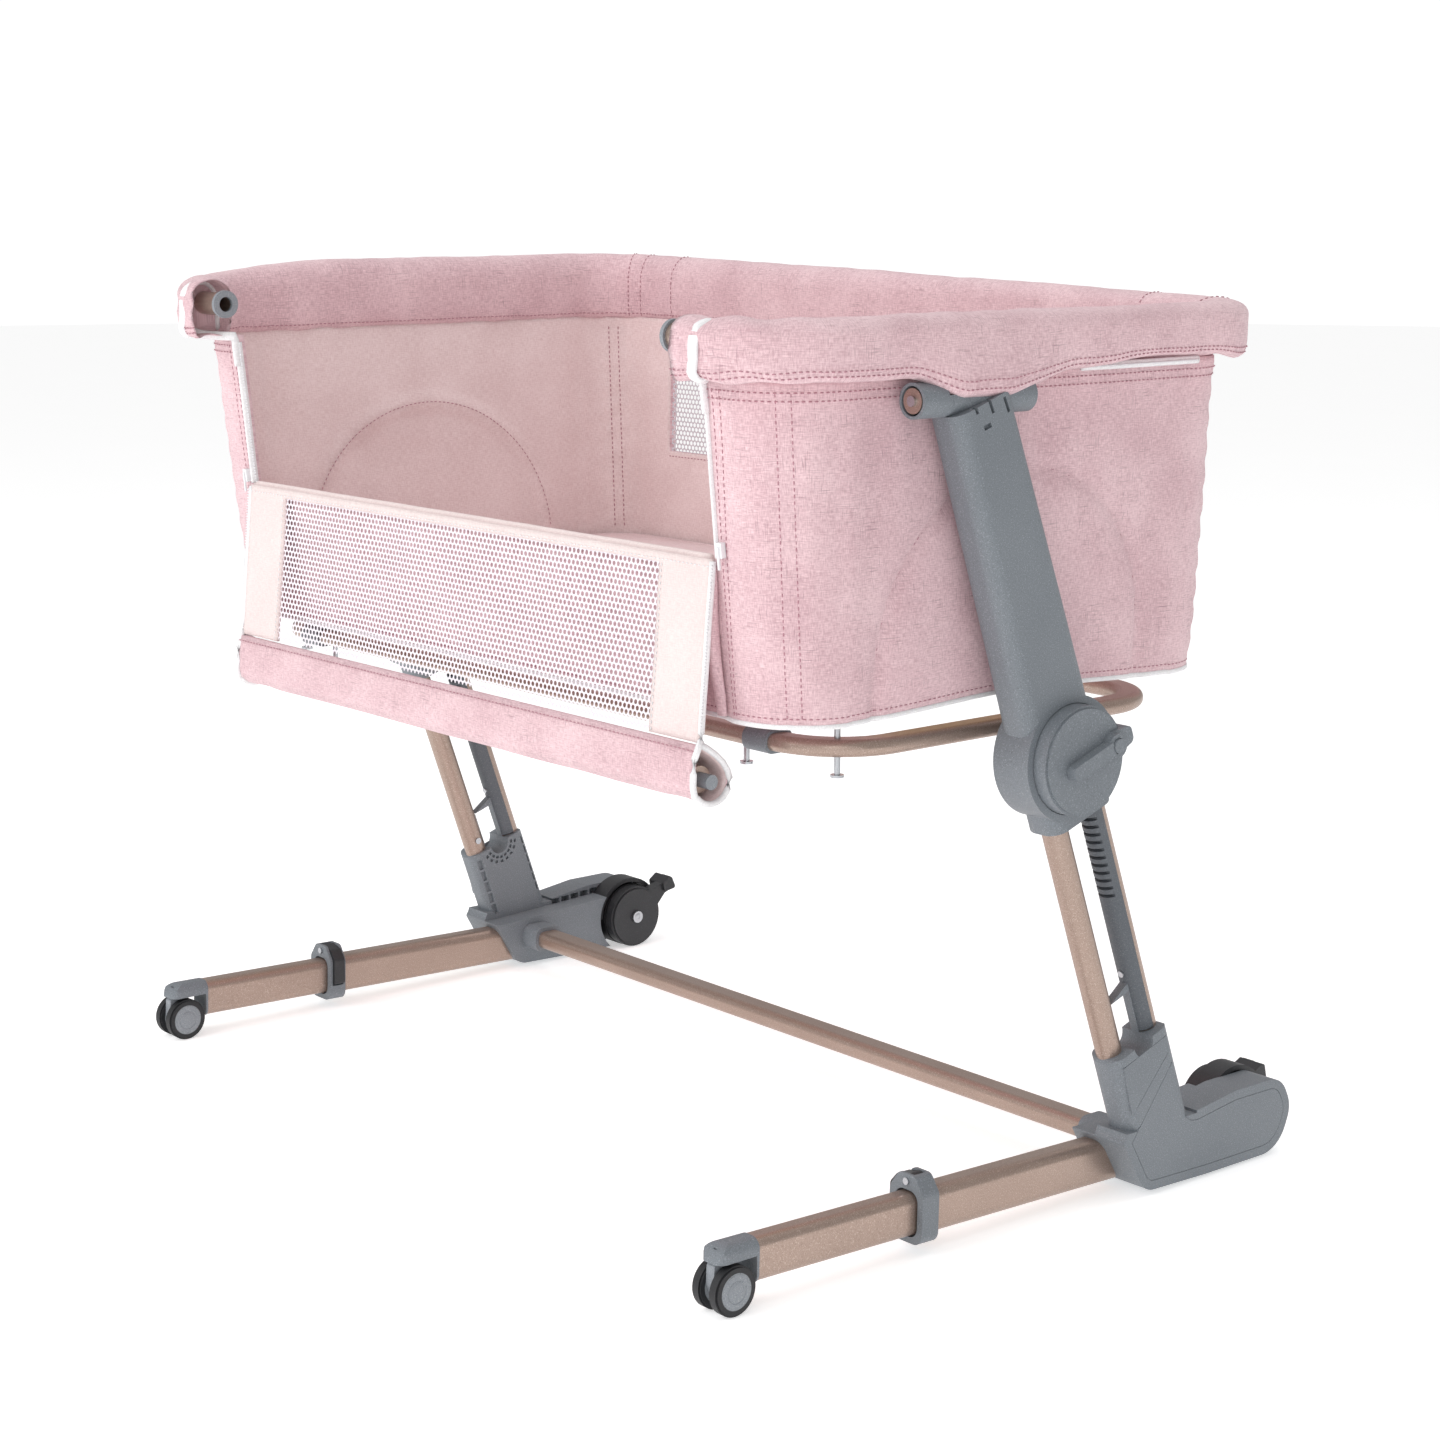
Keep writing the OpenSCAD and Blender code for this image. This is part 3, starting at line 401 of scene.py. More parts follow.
class Wardrobe:
    """All finishes of the bassinet, built once."""

    def __init__(self) -> None:
        """Builds every material."""
        groups = EffectGroups()
        self.groups = groups
        self.outer = ClothFinish("outer_rose_melange", (204, 166, 173), (238, 207, 211), (132, 90, 102), 0.55).build(groups)
        self.lining = ClothFinish("lining_pale_rose", (226, 201, 200), (246, 227, 226), (206, 174, 176), 0.16,
                                  sheen=0.15).build(groups)
        self.pad = ClothFinish("mattress_cotton", (220, 194, 195), (240, 218, 219), (204, 172, 176), 0.14,
                               Space.OBJECT, 0.15).build(groups)
        self.blush = ClothFinish("blush_cotton", (226, 208, 206), (240, 225, 222), (212, 190, 188), 0.14,
                                 sheen=0.15).build(groups)
        self.piping = ClothFinish("white_piping", (232, 231, 232), (248, 247, 248), (214, 212, 214), 0.2,
                                  Space.OBJECT, 0.1).build(groups)
        self.thread = SpeckledFinish("rose_thread", (186, 136, 147), (206, 160, 169), (158, 110, 121), 0.7,
                                     scale=1500).build(groups)
        self.net = NetFinish("white_net", (246, 241, 246), (228, 221, 230), 0.0056).build(groups)
        self.back_net = NetFinish("grey_net", (226, 224, 229), (200, 197, 203), 0.0056).build(groups)
        self.by_slot = {
            "grey_plastic": SpeckledFinish("grey_plastic", (120, 126, 132), (172, 178, 184), (78, 83, 89), 0.5, speckle=0.5, scale=1000),
            "dark_plastic": SpeckledFinish("dark_plastic", (94, 99, 105), (132, 138, 144), (62, 66, 71), 0.55, speckle=0.5, scale=1000),
            "black_plastic": SpeckledFinish("black_plastic", (44, 45, 48), (66, 68, 72), (28, 29, 32), 0.45),
            "light_plastic": SpeckledFinish("light_plastic", (138, 143, 149), (178, 183, 188), (102, 107, 112), 0.48, speckle=0.6),
            "tyre": SpeckledFinish("tyre_rubber", (30, 31, 34), (48, 49, 52), (18, 19, 21), 0.6),
            "rose_metal": SpeckledFinish("rose_satin_metal", (172, 151, 139), (222, 204, 192), (120, 101, 91),
                                         0.34, 0.7, 0.5, 1000.0, 0.05),
            "bright_steel": SpeckledFinish("bright_steel", (186, 188, 192), (214, 216, 220), (140, 142, 146),
                                           0.26, 0.95, 0.25, 1400.0, 0.04),
            "board": SpeckledFinish("base_board", (206, 180, 142), (222, 200, 168), (170, 142, 106), 0.7),
            "white_plastic": SpeckledFinish("white_plastic", (236, 236, 238), (250, 250, 251), (214, 214, 218), 0.4,
                                            speckle=0.25),
        }
        self.hard = {slot: finish.build(groups) for slot, finish in self.by_slot.items()}
        self.soft = {"inner_fabric": self.pad, "panel_fabric": self.blush, "outer_fabric": self.outer}

    def dress_nodes(self) -> None:
        """Gives every CAD node the finish of its slot in the record."""
        slots = {part["node"]: part["material_slot"] for part in frame["record"]["subparts"]}
        for name, obj in frame["nodes"].items():
            slot = slots[name]
            material = self.hard.get(slot) or self.soft.get(slot)
            if name.endswith("_rollers") or name.endswith("_rear_wheel"):
                material = self._wheel(name)
            obj.data.materials.clear()
            obj.data.materials.append(material)
            log.info("dressed %s in %s", name, material.name)

    def _wheel(self, name: str) -> bpy.types.Material:
        """Builds the finish of one wheel node, with its hub round its own axle."""
        low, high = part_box(name)
        middle = (low + high) / 2
        castor = name.endswith("_rollers")
        finish = HubFinish(name + "_finish", (30, 31, 34), (48, 49, 52), (18, 19, 21), 0.55,
                           hub=(148, 153, 158) if castor else (62, 64, 68),
                           centre=tuple(middle), radius=0.0148 if castor else 0.026)
        return finish.build(self.groups)


# ---------- cloth meshes ----------


def link_mesh(name: str, bm: bmesh.types.BMesh, materials: Sequence[bpy.types.Material],
              smooth: bool = True) -> bpy.types.Object:
    """Makes an object from a finished bmesh.

    Args:
        name: The piece's name.
        bm: Its mesh, which is freed.
        materials: Its material slots.
        smooth: Whether its faces are shaded smooth.

    Returns:
        The new object, at the origin.
    """
    mesh = bpy.data.meshes.new(name)
    bm.to_mesh(mesh)
    bm.free()
    obj = bpy.data.objects.new(name, mesh)
    bpy.context.scene.collection.objects.link(obj)
    for material in materials:
        mesh.materials.append(material)
    if smooth:
        mesh.shade_smooth()
    return obj


def grid(name: str, rows: Sequence[Sequence[Vector]], materials: Sequence[bpy.types.Material], closed_u: bool = False,
         closed_v: bool = False, skip: Callable[[int, int], bool] | None = None) -> bpy.types.Object:
    """Makes a cloth grid with a UV map in metres.

    Args:
        name: The piece's name.
        rows: Points, as rows across the cloth of points along it.
        materials: Its material slots.
        closed_u: Whether each row joins up with its own start.
        closed_v: Whether the last row joins the first.
        skip: Says which cells, by row and column, are left open.

    Returns:
        The new object.
    """
    bm = bmesh.new()
    layer = bm.loops.layers.uv.new("cloth")
    verts = [[bm.verts.new(p) for p in row] for row in rows]
    n_rows, n_cols = len(rows), len(rows[0])
    middle = rows[n_rows // 2]
    us, vs = [0.0], [0.0]
    for j in range(n_cols):
        us.append(us[-1] + (middle[(j + 1) % n_cols] - middle[j]).length)
    for i in range(n_rows):
        vs.append(vs[-1] + (rows[(i + 1) % n_rows][0] - rows[i][0]).length)
    for i in range(n_rows if closed_v else n_rows - 1):
        for j in range(n_cols if closed_u else n_cols - 1):
            if skip and skip(i, j):
                continue
            a, b = (i + 1) % n_rows, (j + 1) % n_cols
            face = bm.faces.new((verts[i][j], verts[i][b], verts[a][b], verts[a][j]))
            for loop, uv in zip(face.loops, ((us[j], vs[i]), (us[j + 1], vs[i]), (us[j + 1], vs[i + 1]), (us[j], vs[i + 1]))):
                loop[layer].uv = uv
    loose = [v for v in bm.verts if not v.link_faces]
    bmesh.ops.delete(bm, geom=loose, context="VERTS")
    return link_mesh(name, bm, materials)


def thicken(obj: bpy.types.Object, thickness: float, inner_slot: int = 0, rim_slot: int = 0,
            bevel: float = 0.0) -> bpy.types.Object:
    """Gives a cloth sheet its wall, on the side its normals point away from, and applies it.

    Args:
        obj: The sheet.
        thickness: The wall, in metres.
        inner_slot: Material slot of the far side.
        rim_slot: Material slot of the edges.
        bevel: Width of a rounding on the sheet's edges.

    Returns:
        The same object.
    """
    solid = obj.modifiers.new("wall", "SOLIDIFY")
    solid.thickness = thickness
    solid.offset = -1
    solid.material_offset = inner_slot
    solid.material_offset_rim = rim_slot
    if bevel:
        soft = obj.modifiers.new("edge", "BEVEL")
        soft.width = bevel
        soft.segments = 2
        soft.limit_method = "ANGLE"
        soft.angle_limit = math.radians(50)
    apply_modifiers(obj)
    return obj


def select_only(obj: bpy.types.Object) -> None:
    """Deselects everything and makes one object active and selected."""
    bpy.ops.object.select_all(action="DESELECT")
    obj.select_set(True)
    bpy.context.view_layer.objects.active = obj


def apply_modifiers(obj: bpy.types.Object) -> None:
    """Applies every modifier of an object in order."""
    select_only(obj)
    for modifier in list(obj.modifiers):
        bpy.ops.object.modifier_apply(modifier=modifier.name)


def tube(name: str, path: Sequence[Vector], radius: float, material: bpy.types.Material, closed: bool = False,
         sides: int = 8, flat: float = 1.0) -> bpy.types.Object:
    """Makes a piping, cord or band along a path.

    Args:
        name: The piece's name.
        path: Points of its middle line.
        radius: Half its thickness.
        material: Its finish.
        closed: Whether the path joins up with its start.
        sides: Sides of its cross section.
        flat: Width of the cross section as a share of its height.

    Returns:
        The new object.
    """
    count = len(path)
    rows = []
    up = Vector((0, 0, 1))
    for i, p in enumerate(path):
        before = path[i - 1] if closed or i else p
        after = path[(i + 1) % count] if closed or i < count - 1 else p
        along = (after - before).normalized()
        side = along.cross(up if abs(along.z) < 0.98 else Vector((0, 1, 0))).normalized()
        other = side.cross(along)
        rows.append([p + (side * math.cos(a) * flat + other * math.sin(a)) * radius
                     for a in (2 * math.pi * k / sides for k in range(sides))])
    obj = grid(name, rows, [material], closed_u=True, closed_v=closed)
    if not closed:
        bm = bmesh.new()
        bm.from_mesh(obj.data)
        bmesh.ops.holes_fill(bm, edges=[e for e in bm.edges if e.is_boundary], sides=0)
        bm.to_mesh(obj.data)
        bm.free()
    face_out(obj)
    return obj


def face_out(obj: bpy.types.Object) -> None:
    """Turns every face of a closed piece outwards."""
    bm = bmesh.new()
    bm.from_mesh(obj.data)
    bmesh.ops.recalc_face_normals(bm, faces=bm.faces)
    bm.to_mesh(obj.data)
    bm.free()
    obj.data.shade_smooth()


def stitches(name: str, lines: Iterable[Sequence[tuple[Vector, Vector]]], material: bpy.types.Material,
             pitch: float = 0.0052, length: float = 0.0034, half: float = 0.0005) -> bpy.types.Object:
    """Sews a row of stitches along each line.

    Args:
        name: The piece's name.
        lines: For each seam, its points with the cloth's outward normal.
        material: The thread's finish.
        pitch: Distance from one stitch to the next.
        length: Length of a stitch.
        half: Half a stitch's width.

    Returns:
        One object with every stitch.
    """
    bm = bmesh.new()
    for line in lines:
        walked, due = 0.0, pitch / 2
        for (p, normal), (q, _) in zip(line, line[1:]):
            step = (q - p).length
            while step > 1e-7 and due <= walked + step:
                centre = p.lerp(q, (due - walked) / step) + normal * half * 0.5
                along = (q - p) / step * length / 2
                side = along.normalized().cross(normal).normalized() * half
                rise = normal * half
                ring = [bm.verts.new(centre + along * 0.6 * e + v) for e in (-1, 1)
                        for v in (side, rise, -side, -rise)]
                tips = [bm.verts.new(centre + along * e) for e in (-1, 1)]
                for k in range(4):
                    m = (k + 1) % 4
                    bm.faces.new((ring[k], ring[m], ring[4 + m], ring[4 + k]))
                    bm.faces.new((tips[0], ring[m], ring[k]))
                    bm.faces.new((tips[1], ring[4 + k], ring[4 + m]))
                due += pitch
            walked += step
    bmesh.ops.recalc_face_normals(bm, faces=bm.faces)
    return link_mesh(name, bm, [material])


def ripple(p: Vector, scale: Point, seed: float = 0.0) -> float:
    """Smooth repeatable unevenness at a point, from -1 to 1."""
    return noise.noise(Vector((p.x * scale[0] + seed, p.y * scale[1] - seed, p.z * scale[2] + 2 * seed)))


def bell(x: float, middle: float, width: float) -> float:
    """A smooth bump of height 1 around a middle."""
    return math.exp(-(((x - middle) / width) ** 2))


def ease(x: float, low: float, high: float) -> float:
    """Goes smoothly from 0 at low to 1 at high."""
    t = min(1.0, max(0.0, (x - low) / (high - low)))
    return t * t * (3 - 2 * t)


def settle(obj: bpy.types.Object, body: str, slot_name: str, *nodes: str) -> bpy.types.Object:
    """Hands a finished piece to the frame.

    Args:
        obj: The piece.
        body: The CAD body it rides on.
        slot_name: The name of one of the record's material slots; not used.
        *nodes: CAD nodes that it stands for.

    Returns:
        The same object.
    """
    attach(obj, body)
    if nodes:
        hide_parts(*nodes)
    log.info("%s rides on %s with %d faces", obj.name, body, len(obj.data.polygons))
    return obj


# ---------- tub ----------


@dataclass
class Tub:
    """Padded fabric tub: walls with a lining, quilted end arches, a net window and the seams."""

    wardrobe: Wardrobe
    low_z: float = 0.430
    high_z: float = 0.7
    half_length: tuple[float, float] = (0.416, 0.434)
    front: tuple[float, float] = (-0.2265, -0.2565)
    back: tuple[float, float] = (0.2635, 0.2675)
    corner: float = 0.062
    wall: float = 0.008
    opening: float = 0.346
    sill: float = 0.5555
    window: tuple[float, float, float] = (0.332, 0.56, 0.69)
    arch_middle: float = 0.008
    arch_spring: float = 0.470
    arch_radius: float = 0.150
    columns: list[tuple[str, float]] = field(default_factory=list)

    def __post_init__(self) -> None:
        """Lays out the columns of the wall around the plan."""
        def run(part: str, count: int, ends: tuple[float, float] = (0.0, 1.0)) -> list[tuple[str, float]]:
            return [(part, ends[0] + (ends[1] - ends[0]) * k / count) for k in range(count)]
        self.columns = (run("front_right", 3) + run("corner_fr", 16) + run("right", 64) + run("corner_br", 16)
                        + run("back_right", 4) + run("back", 84) + run("back_left", 4) + run("corner_bl", 16)
                        + run("left", 64) + run("corner_fl", 16) + run("front_left", 3) + run("front", 60))

    def plan(self, z: float) -> tuple[float, float, float]:
        """Half length, front and back of the walls at a height."""
        t = (z - self.low_z) / (0.698 - self.low_z)
        mix = [a + (b - a) * t for a, b in (self.half_length, self.front, self.back)]
        return mix[0], mix[1], mix[2]

    def at(self, column: tuple[str, float], z: float, grow: float = 0.0) -> tuple[Vector, Vector]:
        """Finds a point on the wall.

        Args:
            column: The part of the plan and the share along it.
            z: Height.
            grow: Distance outwards from the wall's outer face.

        Returns:
            The point and the outward normal of the plan there.
        """
        x, y0, y1 = self.plan(z)
        r, part, t = self.corner, *column
        flat = x - r
        w = self.window[0]
        spans = {
            "front_right": ((self.opening, y0), (flat, y0), (0, -1)),
            "right": ((x, y0 + r), (x, y1 - r), (1, 0)),
            "back_right": ((flat, y1), (w, y1), (0, 1)),
            "back": ((w, y1), (-w, y1), (0, 1)),
            "back_left": ((-w, y1), (-flat, y1), (0, 1)),
            "left": ((-x, y1 - r), (-x, y0 + r), (-1, 0)),
            "front_left": ((-flat, y0), (-self.opening, y0), (0, -1)),
            "front": ((-self.opening, y0), (self.opening, y0), (0, -1)),
        }
        corners = {
            "corner_fr": (flat, y0 + r, -90), "corner_br": (flat, y1 - r, 0),
            "corner_bl": (-flat, y1 - r, 90), "corner_fl": (-flat, y0 + r, 180),
        }
        if part in spans:
            (ax, ay), (bx, by), n = spans[part]
            normal = Vector((n[0], n[1], 0))
            return Vector((ax + (bx - ax) * t, ay + (by - ay) * t, z)) + normal * grow, normal
        cx, cy, start = corners[part]
        angle = math.radians(start + 90 * t)
        normal = Vector((math.cos(angle), math.sin(angle), 0))
        return Vector((cx, cy, z)) + normal * (r + grow), normal

    def arch_distance(self, y: float, z: float) -> float:
        """Signed distance from the arch's seam, below zero inside it."""
        if z < self.arch_spring:
            return abs(y - self.arch_middle) - self.arch_radius
        return math.hypot(y - self.arch_middle, z - self.arch_spring) - self.arch_radius

    def puff(self, column: tuple[str, float], p: Vector) -> float:
        """How far the padded wall stands out of its plain shape at a point."""
        part, t = column
        seam = 0.0
        out = 0.0016 * ripple(p, (9, 9, 7)) + 0.0010 * ripple(p, (24, 24, 13), 3.0)
        if part in ("right", "left"):
            d = self.arch_distance(p.y, p.z)
            room = 1 - ease(p.z, 0.60, 0.69)
            if d < 0:
                out += 0.0042 * (1 - math.exp(d / 0.012)) * room
            else:
                out += 0.0022 * (1 - math.exp(-d / 0.02)) * room
            seam = bell(d, 0, 0.0045)
            out += 0.0040 * ripple(p, (0, 24, 3), 5.0) * ease(p.z, 0.54, 0.68)
        elif part.startswith("corner"):
            out += 0.0018 * math.sin(math.pi * t)
            seam = max(bell(t, 0.46, 0.03), bell(t, 0.54, 0.03)) * 0.7
            out += 0.0009 * math.sin(p.z * 260 + 9 * t) * bell(t, 0.5, 0.25)
        elif part.startswith("back"):
            out += 0.0022 * ripple(p, (20, 0, 4), 8.0) * ease(p.z, 0.50, 0.56)
        else:
            out += 0.0012 * ripple(p, (26, 0, 5), 2.0)
        low = ease(p.z, self.low_z, self.low_z + 0.03)
        return out * low - 0.0036 * seam

    def hem_lift(self, column: tuple[str, float], z: float) -> float:
        """How far the bottom edge is drawn up at a place."""
        part, t = column
        along = bell(t, 0.5, 0.33) if part in ("right", "left") else 0.25 if part == "front" else 0.0
        return 0.0075 * along * (1 - ease(z, self.low_z, 0.52))

    def face(self, column: tuple[str, float], z: float, grow: float = 0.0) -> tuple[Vector, Vector]:
        """A point of the finished outer face, padding included, and its outward normal."""
        p, normal = self.at(column, z)
        lift = self.hem_lift(column, z)
        return p + normal * (self.puff(column, p) + grow) + Vector((0, 0, lift)), normal

    def levels(self) -> list[float]:
        """Heights of the wall's rows, with rows on the sill and the window's edges."""
        w0, w1 = self.window[1:]
        marks = [(self.low_z, self.sill, 20), (self.sill, w0, 1), (w0, w1, 21), (w1, self.high_z, 2)]
        rows = [a + (b - a) * k / n for a, b, n in marks for k in range(n)]
        return rows + [self.high_z]

    def column_line(self, part: str, t: float, z0: float, z1: float, grow: float = 0.0, count: int = 40
                    ) -> list[tuple[Vector, Vector]]:
        """Points and normals up the wall at one place of the plan."""
        return [self.face((part, t), z0 + (z1 - z0) * k / count, grow) for k in range(count + 1)]

    def ring_line(self, z: float, keep: Callable[[str], bool], grow: float = 0.0) -> list[tuple[Vector, Vector]]:
        """Points and normals along the plan at one height."""
        return [self.face(c, z, grow) for c in self.columns if keep(c[0])]

    def build(self) -> None:
        """Builds every piece of the tub."""
        self.build_walls()
        self.build_floor()
        self.build_back_net()
        self.build_edges()
        self.build_seams()

    def build_walls(self) -> None:
        """Builds the padded walls with their lining."""
        levels = self.levels()
        rows = [[self.face(c, z)[0] for c in self.columns] for z in levels]
        w0, w1 = self.window[1:]

        def left_open(i: int, j: int) -> bool:
            """Cells of the drop side's opening and the net window."""
            z = (levels[i] + levels[i + 1]) / 2
            part = self.columns[j][0]
            return (part == "front" and z > self.sill) or (part == "back" and w0 < z < w1)

        walls = grid("tub_walls", rows, [self.wardrobe.outer, self.wardrobe.lining], closed_u=True, skip=left_open)
        thicken(walls, self.wall, inner_slot=1, rim_slot=0)
        settle(walls, "basket", "outer_fabric", "tub_cover")

    def build_floor(self) -> None:
        """Builds the fabric floor under the base board."""
        shares = [1.0, 0.97, 0.85, 0.7, 0.5, 0.3, 0.12, 0.02]
        rows = []
        for s in shares:
            row = []
            for c in self.columns:
                p, _ = self.face(c, self.low_z, -0.003)
                p.x *= s
                p.y = 0.018 + (p.y - 0.018) * s
                p.z = self.low_z + 0.0035 + self.hem_lift(c, self.low_z) * s - 0.0006 * ripple(p, (20, 20, 0))
                row.append(p)
            rows.append(row)
        floor = grid("tub_floor", rows, [self.wardrobe.outer], closed_u=True)
        face_down(floor)
        thicken(floor, 0.0016)
        settle(floor, "basket", "outer_fabric")

    def build_back_net(self) -> None:
        """Builds the net in the back wall's window."""
        w, z0, z1 = self.window
        rows = []
        for i in range(28):
            z = z0 - 0.004 + (z1 - z0 + 0.008) * i / 27
            row = []
            for j in range(90):
                t = j / 89
                p, n = self.at(("back", 0.0), z, -self.wall / 2)
                x = (w + 0.004) * (1 - 2 * t)
                p = Vector((x, p.y, z))
                row.append(p + n * (0.0025 * ripple(p, (9, 0, 12), 1.5) - 0.002 * bell(x, 0, 0.2)))
            rows.append(row)
        net = grid("back_window_net", rows, [self.wardrobe.back_net])
        settle(net, "basket", "panel_fabric")

    def build_edges(self) -> None:
        """Builds the piping along the bottom, the opening's zip tapes and the sill binding."""
        hem = [self.face(c, self.low_z, -0.001)[0] + Vector((0, 0, 0.0005)) for c in self.columns]
        bottom = tube("bottom_piping", hem, 0.0024, self.wardrobe.piping, closed=True, sides=8)
        settle(bottom, "basket", "outer_fabric")
        for side in Side:
            name = side.name.lower()
            part, t = ("front_right", 0.0) if side is Side.RIGHT else ("front_left", 1.0)
            line = self.column_line(part, t, 0.560, 0.694, -0.002)
            path = [p + Vector((-side.value * 0.0005, -0.001, 0)) for p, _ in line]
            tape = tube(f"{name}_opening_tape", path, 0.0042, self.wardrobe.piping, sides=8, flat=0.45)
            settle(tape, "basket", "panel_fabric")
            teeth = self.teeth(f"{name}_opening_teeth", path, Vector((-side.value, 0, 0)))
            settle(teeth, "basket", "white_plastic")
        line = self.ring_line(0.5555, lambda part: part == "front")
        path = [p + Vector((0, 0.002, 0.001)) for p, _ in line]
        sill = tube("sill_binding", path, 0.0052, self.wardrobe.blush, sides=10, flat=0.7)
        settle(sill, "basket", "panel_fabric")

    def teeth(self, name: str, path: Sequence[Vector], out: Vector) -> bpy.types.Object:
        """Makes a zip's row of teeth beside its tape.

        Args:
            name: The piece's name.
            path: The tape's middle line.
            out: Direction in which the teeth stand out of it.

        Returns:
            The new object.
        """
        base = [(p + out * 0.0022, out) for p in path]
        return stitches(name, [base], self.wardrobe.hard["white_plastic"], 0.0026, 0.0017, 0.0011)

    def build_seams(self) -> None:
        """Sews the double seams, the arches, the hems and the window's border."""
        rows = []
        for corner in ("corner_fr", "corner_br", "corner_bl", "corner_fl"):
            for t in (0.44, 0.56):
                rows.append(self.column_line(corner, t, 0.436, 0.692))
                rows.append([(p, -n) for p, n in self.column_line(corner, t, 0.475, 0.692, -self.wall)])
        for part, sign in (("right", 1), ("left", -1)):
            rows += self.arch_lines(part, sign)
        for part, t0 in (("front_right", 0.0), ("front_left", 1.0)):
            for inset in (0.28, 0.62):
                rows.append(self.column_line(part, abs(t0 - inset), 0.434, 0.694))
        shell = lambda part: part != "front"
        for z in (0.684, 0.6905):
            line = self.ring_line(z, shell, 0.0004)
            rows.append([*line])
        rows.append(self.ring_line(0.437, lambda part: True, 0.0))
        w, z0, z1 = self.window
        frame_line = [(("back", k / 60), z0 - 0.005) for k in range(61)]
        rows.append([self.face(c, z) for c, z in frame_line])
        rows.append([(p, -n) for p, n in (self.face(c, z, -self.wall) for c, z in frame_line)])
        seams = stitches("tub_stitching", rows, self.wardrobe.thread)
        settle(seams, "basket", "outer_fabric")

    def arch_lines(self, part: str, sign: int) -> list[list[tuple[Vector, Vector]]]:
        """Lines of the arch's seam on one end wall, outside and inside."""
        marks = [(self.arch_middle - self.arch_radius, z / 1000) for z in range(442, 470, 4)]
        marks += [(self.arch_middle - self.arch_radius * math.cos(a), self.arch_spring + self.arch_radius * math.sin(a))
                  for a in (math.pi * k / 60 for k in range(61))]
        marks += [(self.arch_middle + self.arch_radius, z / 1000) for z in range(466, 440, -4)]
        outside, inside = [], []
        for y, z in marks:
            _, y0, y1 = self.plan(z)
            t = (y - y0 - self.corner) / (y1 - y0 - 2 * self.corner)
            column = (part, t if sign > 0 else 1 - t)
            p, n = self.face(column, z)
            outside.append((p, n))
            if z > 0.474:
                q, _ = self.face(column, z, -self.wall)
                inside.append((q, -n))
        return [outside, inside]


def face_down(obj: bpy.types.Object) -> None:
    """Turns an open sheet's faces so that they look downwards."""
    bm = bmesh.new()
    bm.from_mesh(obj.data)
    bm.normal_update()
    total = sum(f.normal.z * f.calc_area() for f in bm.faces)
    if total > 0:
        bmesh.ops.reverse_faces(bm, faces=bm.faces)
    bm.to_mesh(obj.data)
    bm.free()


# ---------- rim ----------


